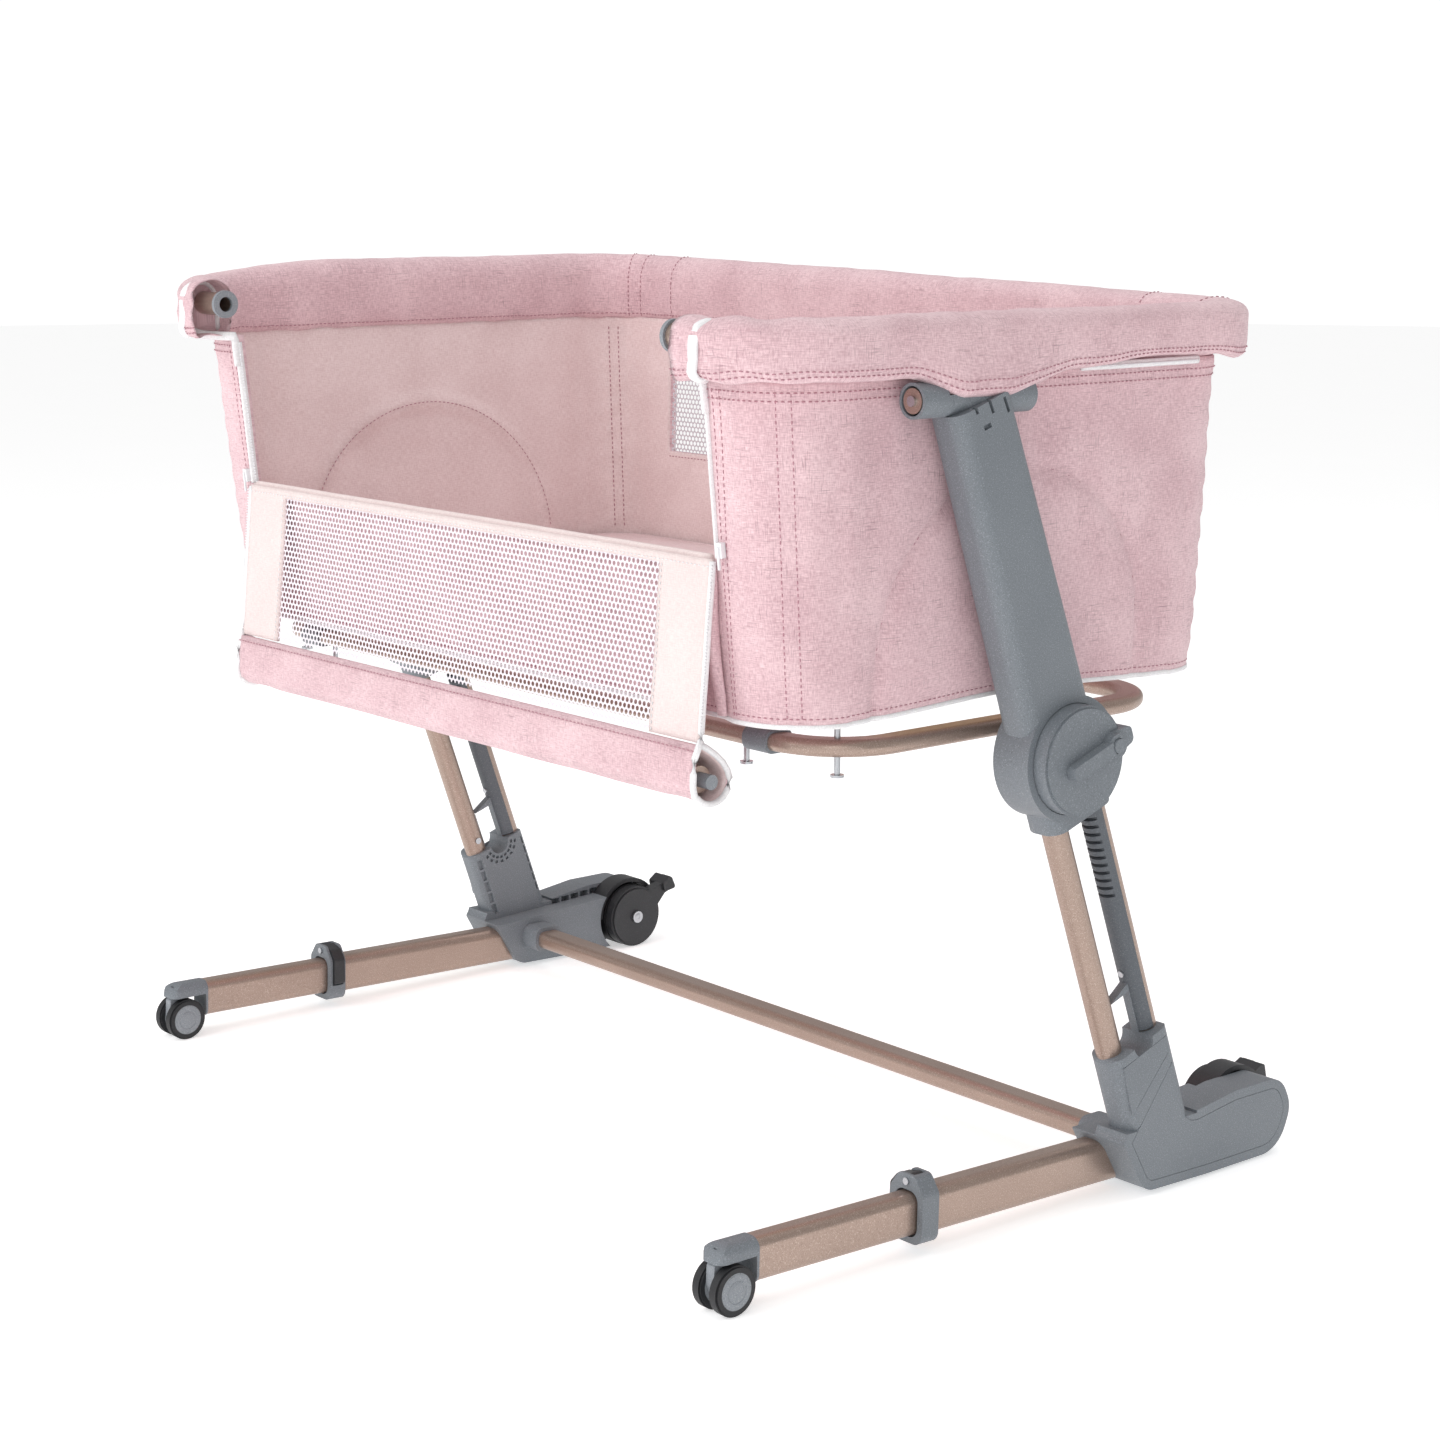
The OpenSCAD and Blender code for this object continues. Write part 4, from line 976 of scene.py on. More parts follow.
@dataclass
class RimRoll:
    """Padded roll round the rim tube, with its hem, white end bands and cross seams."""

    wardrobe: Wardrobe
    tub: Tub
    tube_x: float = 0.440
    front: float = -0.2755
    back: float = 0.2745
    front_bend: float = 0.085
    back_bend: float = 0.070
    height: float = 0.731
    start: float = 0.384
    barrel: tuple[float, float] = (-0.1427, -0.0207)

    def half_path(self) -> list[tuple[Vector, Vector]]:
        """Middle line and outward normals from the right front end to the back's middle."""
        out: list[tuple[Vector, Vector]] = []
        z, x, fb, bb = self.height, self.tube_x, self.front_bend, self.back_bend
        for k in range(3):
            out.append((Vector((self.start - 0.006 + (x - fb - self.start + 0.006) * k / 3, self.front, z)), Vector((0, -1, 0))))
        for k in range(22):
            a = math.radians(-90 + 90 * k / 21)
            n = Vector((math.cos(a), math.sin(a), 0))
            out.append((Vector((x - fb, self.front + fb, z)) + n * fb, n))
        low, high = self.front + fb, self.back - bb
        for k in range(1, 62):
            out.append((Vector((x, low + (high - low) * k / 62, z)), Vector((1, 0, 0))))
        for k in range(22):
            a = math.radians(90 * k / 21)
            n = Vector((math.cos(a), math.sin(a), 0))
            out.append((Vector((x - bb, self.back - bb, z)) + n * bb, n))
        for k in range(1, 51):
            out.append((Vector(((x - bb) * (1 - k / 50), self.back, z)), Vector((0, 1, 0))))
        return out

    def path(self) -> list[tuple[Vector, Vector]]:
        """The whole middle line, from the right front end round to the left one."""
        half = self.half_path()
        mirrored = [(Vector((-p.x, p.y, p.z)), Vector((-n.x, n.y, n.z))) for p, n in reversed(half[:-1])]
        return half + mirrored

    @staticmethod
    def top_height(p: Vector) -> float:
        """Height of the padding's top above the tube: fuller on the left and at the back."""
        share = p.x / 0.44
        fall = -0.011 * share - 0.002 * share ** 2 - 0.012 * (1 - ease(p.y, -0.27, -0.10))
        return max(0.0158, 0.027 + fall)

    @staticmethod
    def section() -> list[tuple[float, float]]:
        """The roll's outline, out and up from the rim tube, from the inner hem over the top."""
        points = [(-0.0125, -0.0325), (-0.0160, -0.0300), (-0.0178, -0.0255), (-0.0190, -0.0180), (-0.0194, -0.0090)]
        for k in range(15):
            a = math.radians(180 - 180 * k / 14)
            c, s = math.cos(a), math.sin(a)
            points.append((0.0018 + 0.0208 * math.copysign(abs(c) ** 0.9, c), 0.0035 + 0.0235 * abs(s) ** 0.92))
        points += [(0.0226, -0.0090), (0.0222, -0.0180), (0.0212, -0.0250), (0.0190, -0.0295), (0.0150, -0.0320),
                   (0.0100, -0.0300), (0.0010, -0.0285), (-0.0080, -0.0300)]
        return points

    def bulge(self, p: Vector, s: float, a: float, b: float, end: float) -> tuple[float, float]:
        """Moves one outline point where the padding puffs, wrinkles or drapes.

        Args:
            p: The middle line's point.
            s: Distance along the middle line.
            a: Offset outwards.
            b: Offset upwards.
            end: Distance from the nearer front end.

        Returns:
            The new offsets.
        """
        if b > 0.0035:
            b = 0.0035 + (b - 0.0035) * (self.top_height(p) - 0.0035) / 0.0235
        size = math.hypot(a, b)
        near = 1 - ease(end, 0.05, 0.17)
        swell = 0.0011 * ripple(p, (13, 13, 3), a * 30) + 0.0006 * ripple(p, (45, 45, 3), b * 40)
        swell += near * 0.0014 * math.sin(s * 150 + b * 260) * ease(end, 0.004, 0.03)
        swell += 0.0010 * ripple(Vector((s, b * 2.0, 0)), (38, 20, 0), 4.0) * (1 if a < 0 else 0.5)
        pinch = bell(end, 0, 0.012)
        swell -= 0.004 * pinch * (1 if b > -0.02 else 0.3)
        a, b = a * (1 + swell / size), b * (1 + swell / size)
        if a > 0 and abs(p.x) > 0.43:
            drape = ease(p.y, self.barrel[0] - 0.005, self.barrel[0] + 0.045) * (1 - ease(p.y, self.barrel[1] - 0.045, self.barrel[1] + 0.06))
            low = 1 - ease(b, -0.034, 0.006)
            a += (0.0150 if a > 0.0145 else 0.008) * drape * low
            if a > 0.0145:
                b -= 0.0165 * drape * (1 - ease(b, -0.034, -0.004))
            lift = ease(p.y, 0.05, 0.12) * (1 - ease(p.y, 0.20, 0.235))
            b += 0.0060 * lift * (1 - ease(b, -0.034, -0.010))
        return a, b

    def frames(self) -> list[tuple[Vector, Vector, float, float]]:
        """Middle line points with normal, distance along and distance from the nearer front end."""
        path = self.path()
        lengths = [0.0]
        for (p, _), (q, _) in zip(path, path[1:]):
            lengths.append(lengths[-1] + (q - p).length)
        return [(p, n, s, min(s, lengths[-1] - s)) for (p, n), s in zip(path, lengths)]

    def surface(self, a: float, b: float, grow: float = 0.0) -> list[tuple[Vector, Vector]]:
        """A line along the roll at one place of its outline, with outward normals."""
        out = []
        for p, n, s, end in self.frames():
            x, y = self.bulge(p, s, a, b, end)
            normal = (n * a + Vector((0, 0, b))).normalized() if b > -0.02 else n * math.copysign(1, a)
            out.append((p + n * x + Vector((0, 0, y)) + normal * grow, normal))
        return out

    def build(self) -> None:
        """Builds the roll, its end bands, its seams and the zip under its rear hem."""
        outline = self.section()
        rows = []
        for p, n, s, end in self.frames():
            row = []
            for a, b in outline:
                x, y = self.bulge(p, s, a, b, end)
                row.append(p + n * x + Vector((0, 0, y)))
            rows.append(row)
        roll = grid("rim_roll", rows, [self.wardrobe.outer], closed_u=True)
        close_ends(roll)
        self.turn_weave(roll)
        settle(roll, "basket", "outer_fabric", "rim_cover")
        self.build_bands(rows[0], rows[-1])
        self.build_seams(outline)
        self.build_hem_zip()

    @staticmethod
    def turn_weave(obj: bpy.types.Object) -> None:
        """Swaps the cloth map's directions so that the weave runs along the roll."""
        layer = obj.data.uv_layers.active.data
        for item in layer:
            item.uv = (item.uv[1], item.uv[0])

    def build_bands(self, right: Sequence[Vector], left: Sequence[Vector]) -> None:
        """Builds the white bands round the roll's two front ends."""
        for side, ring in ((Side.RIGHT, right), (Side.LEFT, left)):
            path = [p + Vector((side.value * 0.0015, 0, 0)) for p in ring]
            band = tube(f"{side.name.lower()}_rim_band", path, 0.0026, self.wardrobe.piping, closed=True, sides=10, flat=2.1)
            settle(band, "basket", "panel_fabric")
            tail = self.tub.column_line("front_right" if side is Side.RIGHT else "front_left",
                                        0.0 if side is Side.RIGHT else 1.0, 0.672, 0.700, 0.0, 8)
            line = [p + Vector((0, -0.0015, 0)) for p, _ in tail]
            line += [Vector((side.value * 0.360, -0.2660, 0.7000)), Vector((side.value * 0.3700, -0.2795, 0.7010)),
                     Vector((side.value * 0.3770, -0.2890, 0.7050)), Vector((side.value * 0.3790, -0.2940, 0.7130))]
            join = tube(f"{side.name.lower()}_rim_band_tail", line, 0.0042, self.wardrobe.piping, flat=0.6)
            settle(join, "basket", "panel_fabric")

    def build_seams(self, outline: Sequence[tuple[float, float]]) -> None:
        """Sews the hem lines and the cross seams of the roll."""
        lines = [self.surface(0.0216, -0.0235, 0.0002), self.surface(0.0200, -0.0278, 0.0002),
                 self.surface(-0.0172, -0.0270, 0.0002)]
        frames = self.frames()
        for x0 in (-0.400, -0.381, -0.323, 0.323, 0.400):
            index = min(range(len(frames)), key=lambda i: (frames[i][0].y < 0.15, abs(frames[i][0].x - x0)))
            p, n, s, end = frames[index]
            line = []
            for a, b in outline[1:24]:
                x, y = self.bulge(p, s, a, b, end)
                normal = (n * a + Vector((0, 0, b))).normalized()
                line.append((p + n * x + Vector((0, 0, y)) + normal * 0.0002, normal))
            lines.append(line)
        seams = stitches("rim_stitching", lines, self.wardrobe.thread, 0.005, 0.0034, 0.0005)
        settle(seams, "basket", "outer_fabric")

    def build_hem_zip(self) -> None:
        """Builds the white zip that shows under the hem at the rear of each end."""
        for side in Side:
            part = side.name.lower()
            t0, t1 = (0.64, 1.0) if side is Side.RIGHT else (0.36, 0.0)
            path = [self.tub.face((part, t0 + (t1 - t0) * k / 30), 0.6985, 0.0042)[0] for k in range(31)]
            strip = tube(f"{part}_hem_zip", path, 0.0034, self.wardrobe.piping, flat=0.5)
            settle(strip, "basket", "panel_fabric")
            base = [(p + Vector((side.value * 0.0018, 0, 0)), Vector((side.value, 0, 0))) for p in path]
            teeth = stitches(f"{part}_hem_zip_teeth", [base], self.wardrobe.hard["white_plastic"], 0.0026, 0.0017, 0.001)
            settle(teeth, "basket", "white_plastic")


def close_ends(obj: bpy.types.Object) -> None:
    """Closes the open ends of a swept piece and faces it outwards."""
    bm = bmesh.new()
    bm.from_mesh(obj.data)
    bmesh.ops.holes_fill(bm, edges=[e for e in bm.edges if e.is_boundary], sides=0)
    bm.to_mesh(obj.data)
    bm.free()
    face_out(obj)


# ---------- mattress ----------


@dataclass
class Mattress:
    """Crowned mattress pad with a piped edge and a box side."""

    wardrobe: Wardrobe
    tub: Tub
    low: float = 0.4436
    high: float = 0.4700
    inset: float = 0.0125
    crown: float = 0.0016
    swell_cap: float = 0.005

    def outline(self, shrink: float, z: float) -> list[Vector]:
        """The pad's plan, drawn in by an amount, at a height."""
        columns = self.tub.columns
        out = []
        for c in columns:
            p, _ = self.tub.at(c, self.tub.low_z + 0.012, -self.inset - shrink)
            out.append(Vector((p.x, p.y, z)))
        return out

    def build(self) -> None:
        """Builds the pad, swells it and adds its piping."""
        low, high = self.low, self.high
        layers = [(0.004, low), (0.0, low + 0.006), (0.0, high - 0.006), (0.0025, high - 0.002)]
        rows = [self.outline(s, z) for s, z in layers]
        centre = Vector((0, 0.018, 0))
        for share in (0.97, 0.9, 0.75, 0.55, 0.35, 0.15, 0.03):
            row = []
            for p in rows[3]:
                q = centre + (p - centre) * share
                rise = self.crown * (1 - share ** 2) - 0.002 + 0.0006 * ripple(q, (16, 16, 0), 6.0)
                q.z = high + rise
                row.append(q)
            rows.append(row)
        under = [[centre + (p - centre) * s for p in rows[0]] for s in (0.03, 0.3, 0.7)]
        for row in under:
            for p in row:
                p.z = low
        pad = grid("mattress_pad", under + rows, [self.wardrobe.pad], closed_u=True)
        close_ends(pad)
        self.swell(pad)
        settle(pad, "basket", "inner_fabric", "mattress")
        edge = [p + Vector((0, 0, 0)) for p in self.outline(0.0012, high - 0.0035)]
        piping = tube("mattress_piping", edge, 0.0021, self.wardrobe.pad, closed=True)
        settle(piping, "basket", "inner_fabric")

    def swell(self, pad: bpy.types.Object) -> None:
        """Swells the pad by cloth simulation, within a cap and inside its own height.

        Args:
            pad: The closed pad, which takes the result.
        """
        select_only(pad)
        pad.data.remesh_voxel_size = 0.006
        bpy.ops.object.voxel_remesh()
        rest = [v.co.copy() for v in pad.data.vertices]
        cloth = pad.modifiers.new("fill", "CLOTH")
        cloth.settings.use_pressure = True
        cloth.settings.uniform_pressure_force = 4
        cloth.settings.quality = 5
        cloth.settings.effector_weights.gravity = 0
        scene = bpy.context.scene
        for number in range(1, 21):
            scene.frame_set(number)
        swollen = pad.evaluated_get(bpy.context.evaluated_depsgraph_get())
        moved = [v.co.copy() for v in swollen.data.vertices]
        pad.modifiers.remove(cloth)
        scene.frame_set(1)
        for vertex, start, end in zip(pad.data.vertices, rest, moved):
            step = end - start
            if step.length > self.swell_cap:
                step = step.normalized() * self.swell_cap
            place = start + step * 0.5
            place.z = min(max(place.z, self.low), self.high + 0.002)
            if start.z > self.high - 0.007:
                place.z = max(place.z, start.z)
            place.x = min(max(place.x, -0.4045), 0.4045)
            place.y = min(max(place.y, -0.2155), 0.2515)
            vertex.co = place
        pad.data.shade_smooth()


# ---------- drop side ----------


@dataclass
class DropSide:
    """The fabric of the drop side: framed net panel, sleeve round the rail, piping and zips."""

    wardrobe: Wardrobe
    fold_y: float = -0.245
    fold_z: float = 0.559
    slope: float = math.radians(5)
    half: float = 0.343
    net_half: float = 0.2805
    net_top: float = 0.0085
    drop: float = 0.1435
    layer: float = 0.0034
    rail: tuple[float, float] = (-0.24805, 0.3843)

    def at(self, x: float, s: float, out: float = 0.0) -> Vector:
        """A point of the panel, a distance s below the fold and out in front of its middle."""
        side, down = math.sin(self.slope), math.cos(self.slope)
        wave = 0.0011 * ripple(Vector((x, s, 0)), (9, 16, 0), 7.0) * ease(s, 0, 0.03)
        return Vector((x, self.fold_y - s * side - (out + wave) * down, self.fold_z - s * down + out * side))

    def build(self) -> None:
        """Builds every piece of the drop side."""
        self.build_frame()
        self.build_net()
        self.build_sleeve()
        self.build_piping()
        self.build_gussets()

    def build_frame(self) -> None:
        """Builds the cloth frame round the net: blush in front and melange behind."""
        xs = [-self.half + (self.half - self.net_half) * k / 10 for k in range(10)]
        xs += [-self.net_half + 2 * self.net_half * k / 80 for k in range(80)]
        xs += [self.net_half + (self.half - self.net_half) * k / 10 for k in range(11)]
        ss = [0.0005, 0.0045, self.net_top] + [self.net_top + (self.drop - self.net_top) * k / 24 for k in range(1, 25)]

        def point(x: float, s: float) -> Vector:
            """The frame's point, a little in front of the panel's plane."""
            return self.at(x, s, 0.0014)

        rows = [[point(x, s) for x in xs] for s in ss]

        def in_net(i: int, j: int) -> bool:
            """Cells of the net window."""
            x, s = (xs[j] + xs[j + 1]) / 2, (ss[i] + ss[i + 1]) / 2
            return abs(x) < self.net_half and s > self.net_top

        panel = grid("flap_frame", rows, [self.wardrobe.blush, self.wardrobe.outer], skip=in_net)
        self.face_front(panel)
        thicken(panel, self.layer, inner_slot=1, rim_slot=0)
        settle(panel, "drop_side", "panel_fabric", "flap_panel")
        seam = [(self.at(sx * self.net_half + sx * 0.003, s, 0.0016), Vector((0, -1, 0)))
                for sx in (1,) for s in (0.01, 0.14)]
        lines = [[(self.at(sx * (self.net_half + 0.003), 0.008 + 0.134 * k / 20, 0.0015), Vector((0, -1, 0)))
                  for k in range(21)] for sx in (-1, 1)]
        lines.append([(self.at(-self.half + 2 * self.half * k / 90, 0.0062, 0.0015), Vector((0, -1, 0))) for k in range(91)])
        sewn = stitches("flap_stitching", lines, self.wardrobe.hard["white_plastic"], 0.005, 0.003, 0.0005)
        settle(sewn, "drop_side", "panel_fabric")
        log.debug("side seam starts at %s", seam[0][0])

    @staticmethod
    def face_front(obj: bpy.types.Object) -> None:
        """Turns an open sheet's faces so that they look to the front."""
        bm = bmesh.new()
        bm.from_mesh(obj.data)
        bm.normal_update()
        if sum(f.normal.y * f.calc_area() for f in bm.faces) > 0:
            bmesh.ops.reverse_faces(bm, faces=bm.faces)
        bm.to_mesh(obj.data)
        bm.free()

    def build_net(self) -> None:
        """Builds the net, a little slack between its borders."""
        rows = []
        half, top, low = self.net_half + 0.003, self.net_top - 0.002, self.drop - 0.001
        for i in range(36):
            s = top + (low - top) * i / 35
            row = []
            for j in range(140):
                x = -half + 2 * half * j / 139
                room = ease(half - abs(x), 0, 0.05) * ease(s, top, top + 0.03) * ease(low - s, 0, 0.03)
                pull = 0.0030 * ripple(Vector((x + s * 0.7, s * 0.5, 0)), (15, 22, 0), 9.0) * room
                row.append(self.at(x, s, pull - 0.0004))
            rows.append(row)
        net = grid("flap_net", rows, [self.wardrobe.net])
        self.face_front(net)
        settle(net, "drop_side", "panel_fabric")

    def loop(self, grow: float = 0.0) -> list[Vector]:
        """The sleeve's outline, as points across and up from the rail, from its front top round to its back."""
        marks = [(-0.0132, 0.0300), (-0.0152, 0.0200), (-0.0164, 0.0080), (-0.0168, -0.0020), (-0.0150, -0.0100)]
        for k in range(1, 12):
            a = math.radians(205 + 145 * k / 12)
            marks.append((0.0014 + 0.0178 * math.cos(a), -0.0008 + 0.0168 * math.sin(a)))
        marks += [(0.0196, 0.0010), (0.0176, 0.0070), (0.0130, 0.0140), (0.0060, 0.0205), (-0.0020, 0.0262), (-0.0085, 0.0300)]
        centre = Vector((0, 0.001))
        out = []
        for y, z in marks:
            v = Vector((y, z)) - centre
            out.append(Vector((0, *(centre + v * (1 + grow / v.length)))))
        return out

    def build_sleeve(self) -> None:
        """Builds the hollow sleeve round the rail."""
        outline = self.loop()
        count = 110
        rows = []
        for i in range(count + 1):
            x = -self.half + 2 * self.half * i / count
            end = self.half - abs(x)
            row = []
            for k, q in enumerate(outline):
                swell = 0.0008 * ripple(Vector((x, q.y, q.z)), (14, 30, 30), 2.0)
                swell += 0.0009 * math.sin(x * 90 + k) * (1 - ease(end, 0.0, 0.12)) * ease(end, 0.0, 0.02)
                tight = 0.0006 * ripple(Vector((x, q.z, 0)), (45, 10, 0), 5.0) * ease(q.z, 0.0, 0.03)
                v = q.normalized() * (swell + tight) if k not in (0, len(outline) - 1) else Vector()
                row.append(Vector((x, self.rail[0] + q.y + v.y, self.rail[1] + q.z + v.z)))
            rows.append(row)
        sleeve = grid("rail_sleeve", rows, [self.wardrobe.outer, self.wardrobe.lining], closed_u=True)
        RimRoll.turn_weave(sleeve)
        face_out(sleeve)
        thicken(sleeve, 0.0022, inner_slot=1, rim_slot=0)
        settle(sleeve, "drop_side", "outer_fabric", "flap_roll")
        out = Vector((0, -1, 0))
        lines = [[(Vector((-self.half + 2 * self.half * k / 100, self.rail[0] - 0.0150 - 0.0003, self.rail[1] + 0.0262)), out)
                  for k in range(101)]]
        sewn = stitches("sleeve_stitching", lines, self.wardrobe.thread, 0.0052, 0.0034, 0.0006)
        settle(sewn, "drop_side", "outer_fabric")

    def build_piping(self) -> None:
        """Builds the white piping down each side of the panel and round the sleeve's ends, with its zip."""
        for side in Side:
            x = side.value * (self.half + 0.0004)
            path = [self.at(x, 0.002 + (self.drop - 0.004) * k / 24, 0.0) for k in range(25)]
            ring = [Vector((x, self.rail[0] + q.y, self.rail[1] + q.z)) for q in self.loop(0.0002)]
            path += ring[1:]
            name = side.name.lower()
            piping = tube(f"{name}_flap_piping", path, 0.0027, self.wardrobe.piping, sides=8)
            settle(piping, "drop_side", "panel_fabric")
            teeth_line = [(self.at(x + side.value * 0.0014, 0.004 + (self.drop - 0.01) * k / 24, 0.0020),
                           Vector((side.value, -1, 0)).normalized()) for k in range(25)]
            teeth = stitches(f"{name}_flap_teeth", [teeth_line], self.wardrobe.hard["white_plastic"], 0.0026, 0.0017, 0.001)
            settle(teeth, "drop_side", "white_plastic")

    def build_gussets(self) -> None:
        """Builds the folded cloth between the wall's front edge and the drop side."""
        for side in Side:
            rows = []
            for i in range(26):
                t = i / 25
                z = 0.5525 - 0.118 * t
                row = []
                deep = 0.006 + 0.006 * math.sin(math.pi * min(1, t * 1.2))
                for k in range(14):
                    a = 2 * math.pi * k / 14
                    x = 0.3385 + (0.0052 + 0.0012 * math.sin(9 * t + 2 * a)) * math.cos(a)
                    front = -0.2290 - 0.0118 * (1 - t) + 0.0010 * math.sin(7 * t)
                    row.append(Vector((side.value * x, front - deep * 0.5 + deep * 0.5 * math.sin(a), z)))
                rows.append(row)
            pleat = grid(f"{side.name.lower()}_gusset", rows, [self.wardrobe.outer], closed_u=True)
            close_ends(pleat)
            settle(pleat, "basket", "outer_fabric")


# ---------- stand details ----------


@dataclass
class Fittings:
    """Small hard parts that the CAD nodes carry: screw heads and hub caps."""

    wardrobe: Wardrobe

    def build(self) -> None:
        """Builds the screw heads and hub caps."""
        for side in Side:
            name = side.name.lower()
            low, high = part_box(f"{name}_rear_wheel")
            centre = (low + high) / 2
            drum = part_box(f"{name}_brake_pedal")
            inner = drum[0].x if side is Side.RIGHT else drum[1].x
            self.screw(f"{name}_drum_screw", Vector((inner, centre.y, centre.z)), -side.value, 0.0052, "bright_steel",
                       f"{name}_brake")
            self.castor_caps(name, side)

    def castor_caps(self, name: str, side: Side) -> None:
        """Builds the domed hub caps on the two outer faces of one castor."""
        low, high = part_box(f"{name}_rollers")
        centre = (low + high) / 2
        for sign in (-1, 1):
            x = high.x if sign > 0 else low.x
            self.dome(f"{name}_hub_cap_{'out' if sign * side.value > 0 else 'in'}", Vector((x, centre.y, centre.z)),
                      sign, 0.0138, "light_plastic", f"{name}_roller_pair")

    def dome(self, name: str, place: Vector, sign: int, radius: float, slot_name: str, body: str) -> None:
        """Models a shallow domed cap with a ring groove, facing along X.

        Args:
            name: The piece's name.
            place: Middle of the face that it sits on.
            sign: 1 or -1, the way it faces along X.
            radius: The cap's radius.
            slot_name: The finish's slot.
            body: The CAD body it rides on.
        """
        bpy.ops.object.select_all(action="DESELECT")
        bpy.ops.mesh.primitive_circle_add(vertices=40, radius=radius, fill_type="NGON", location=place,
                                          rotation=(0, sign * math.pi / 2, 0))
        cap = bpy.context.active_object
        bpy.ops.object.transform_apply(location=True, rotation=True, scale=True)
        bpy.ops.object.mode_set(mode="EDIT")
        bpy.ops.mesh.select_all(action="SELECT")
        for inset, rise in ((0.0004, 0.0005), (0.0040, 0.0003), (0.0006, -0.0004), (0.0006, 0.0004), (0.0045, 0.0003)):
            bpy.ops.mesh.inset(thickness=inset, depth=0)
            bpy.ops.transform.translate(value=(sign * rise, 0, 0))
        bpy.ops.object.mode_set(mode="OBJECT")
        self.finish(cap, name, slot_name, body, Vector((sign, 0, 0)))

    def screw(self, name: str, place: Vector, sign: int, radius: float, slot_name: str, body: str) -> None:
        """Models a pan-head screw with a sunk drive, facing along X.

        Args:
            name: The piece's name.
            place: Middle of the face that it sits on.
            sign: 1 or -1, the way it faces along X.
            radius: The head's radius.
            slot_name: The finish's slot.
            body: The CAD body it rides on.
        """
        bpy.ops.object.select_all(action="DESELECT")
        bpy.ops.mesh.primitive_circle_add(vertices=24, radius=radius, fill_type="NGON", location=place,
                                          rotation=(0, sign * math.pi / 2, 0))
        head = bpy.context.active_object
        bpy.ops.object.transform_apply(location=True, rotation=True, scale=True)
        bpy.ops.object.mode_set(mode="EDIT")
        bpy.ops.mesh.select_all(action="SELECT")
        for inset, rise in ((0.0003, 0.0009), (0.0008, 0.0004), (0.0018, 0.0002), (0.0002, -0.0009)):
            bpy.ops.mesh.inset(thickness=inset, depth=0)
            bpy.ops.transform.translate(value=(sign * rise, 0, 0))
        bpy.ops.object.mode_set(mode="OBJECT")
        self.finish(head, name, slot_name, body, Vector((sign, 0, 0)))

    def finish(self, obj: bpy.types.Object, name: str, slot_name: str, body: str, out: Vector) -> None:
        """Closes a cap's back, names it, dresses it and hands it to the frame."""
        bm = bmesh.new()
        bm.from_mesh(obj.data)
        bmesh.ops.holes_fill(bm, edges=[e for e in bm.edges if e.is_boundary], sides=0)
        bmesh.ops.recalc_face_normals(bm, faces=bm.faces)
        bm.to_mesh(obj.data)
        bm.free()
        obj.name = name
        obj.data.name = name
        obj.data.materials.append(self.wardrobe.hard[slot_name])
        select_only(obj)
        bpy.ops.object.shade_smooth_by_angle(angle=math.radians(35))
        settle(obj, body, slot_name)
        log.debug("%s faces %s", name, tuple(out))


# ---------- studio ----------


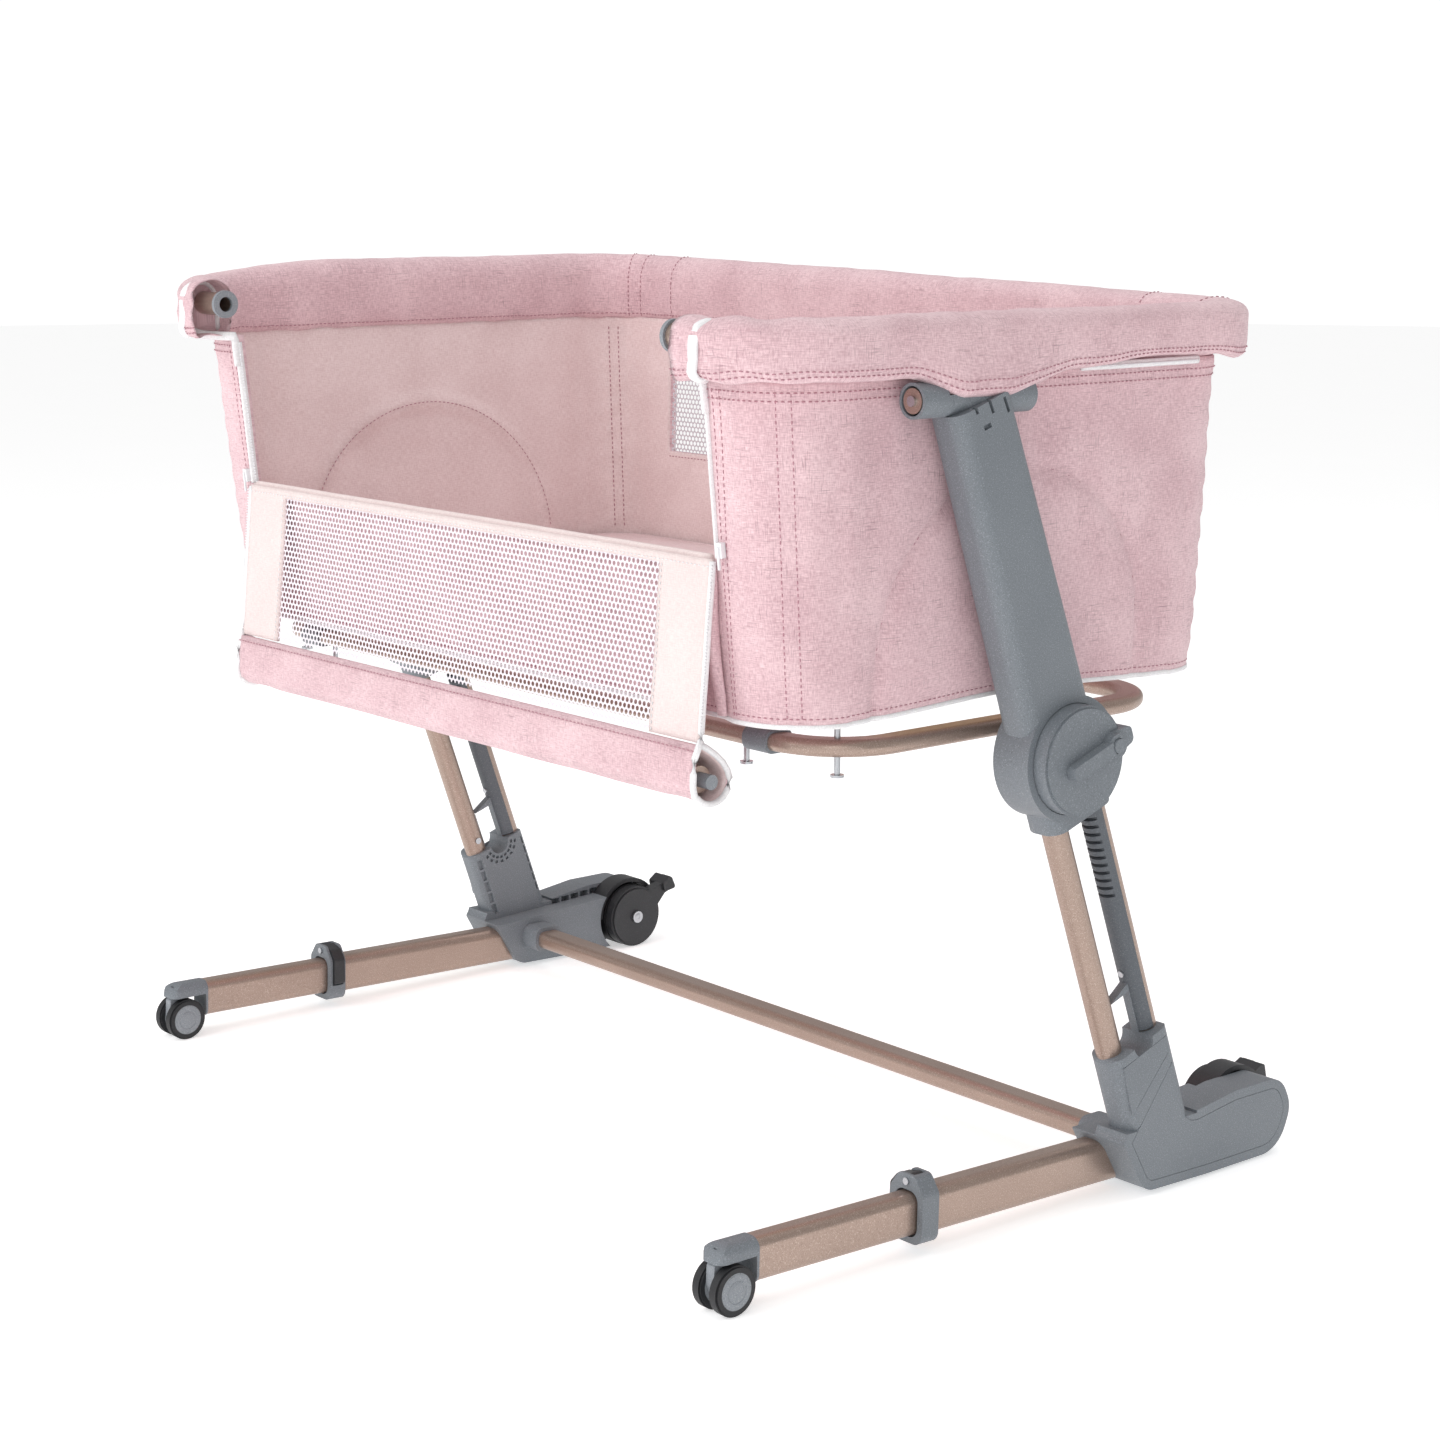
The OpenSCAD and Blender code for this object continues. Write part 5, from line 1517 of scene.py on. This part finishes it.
@dataclass(frozen=True)
class Studio:
    """Camera, soft lights and a plain pale floor."""

    eye: Point = (1.9971, -1.6257, 0.8526)
    target: Point = (0.0, 0.013, 0.4905)
    lens: float = 70.71
    shift: tuple[float, float] = (0.0214, -0.1044)

    def set_camera(self) -> None:
        """Creates the camera and makes it the scene's camera."""
        data = bpy.data.cameras.new("camera")
        data.lens = self.lens
        data.sensor_width = 36.0
        data.shift_x, data.shift_y = self.shift
        data.dof.use_dof = False
        data.clip_end = 50
        camera = bpy.data.objects.new("camera", data)
        camera.location = self.eye
        look = Vector(self.target) - Vector(self.eye)
        camera.rotation_euler = look.to_track_quat("-Z", "Y").to_euler()
        bpy.context.scene.collection.objects.link(camera)
        bpy.context.scene.camera = camera

    def build(self, groups: EffectGroups) -> None:
        """Builds the floor, the lights and the surrounding light."""
        bpy.context.scene.view_settings.view_transform = "Standard"
        bpy.ops.object.select_all(action="DESELECT")
        bpy.ops.mesh.primitive_circle_add(vertices=96, radius=14, fill_type="NGON")
        floor = bpy.context.active_object
        floor.name = "studio_floor"
        material, g, shader = new_material("studio_floor")
        tone = g.noise(g.add("TexCoord").outputs["Object"], 3.0, 2.0)
        g.tree.links.new(g.blend(tone, (0.93, 0.93, 0.93, 1), (0.95, 0.95, 0.95, 1)), shader.inputs["Base Color"])
        shader.inputs["Roughness"].default_value = 0.9
        shader.inputs["Specular IOR Level"].default_value = 0.1
        shader.inputs["Emission Color"].default_value = (1, 1, 1, 1)
        shader.inputs["Emission Strength"].default_value = 0.48
        floor.data.materials.append(material)
        world = bpy.data.worlds.new("studio_light")
        world.use_nodes = True
        backdrop = world.node_tree.nodes["Background"]
        backdrop.inputs["Color"].default_value = (1, 1, 1, 1)
        sky = Graph(world.node_tree)
        seen = sky.add("LightPath").outputs["Is Camera Ray"]
        world.node_tree.links.new(sky.remap(seen, 0, 1, 0.5, 1.05), backdrop.inputs["Strength"])
        bpy.context.scene.world = world
        self.lamp("key", (-0.6, -3.1, 2.3), 2.4, 60)
        self.lamp("fill", (2.5, -2.3, 1.3), 1.6, 14)
        self.lamp("top", (0.2, 0.9, 3.4), 2.4, 30)

    @staticmethod
    def lamp(name: str, place: Point, size: float, power: float) -> None:
        """Adds one soft area light that points at the bassinet.

        Args:
            name: The light's name.
            place: Its position.
            size: Its width.
            power: Its power in watts.
        """
        data = bpy.data.lights.new(name, "AREA")
        data.size = size
        data.energy = power
        lamp = bpy.data.objects.new(name, data)
        lamp.location = place
        look = Vector((0, 0, 0.45)) - Vector(place)
        lamp.rotation_euler = look.to_track_quat("-Z", "Y").to_euler()
        bpy.context.scene.collection.objects.link(lamp)


def main() -> None:
    """Builds the studio and every piece of the bassinet in order."""
    logging.basicConfig(level=logging.INFO, format="%(message)s")
    studio = Studio()
    studio.set_camera()
    wardrobe = Wardrobe()
    wardrobe.dress_nodes()
    tub = Tub(wardrobe)
    tub.build()
    RimRoll(wardrobe, tub).build()
    Mattress(wardrobe, tub).build()
    DropSide(wardrobe).build()
    Fittings(wardrobe).build()
    studio.build(wardrobe.groups)


if __name__ == "__main__":
    main()
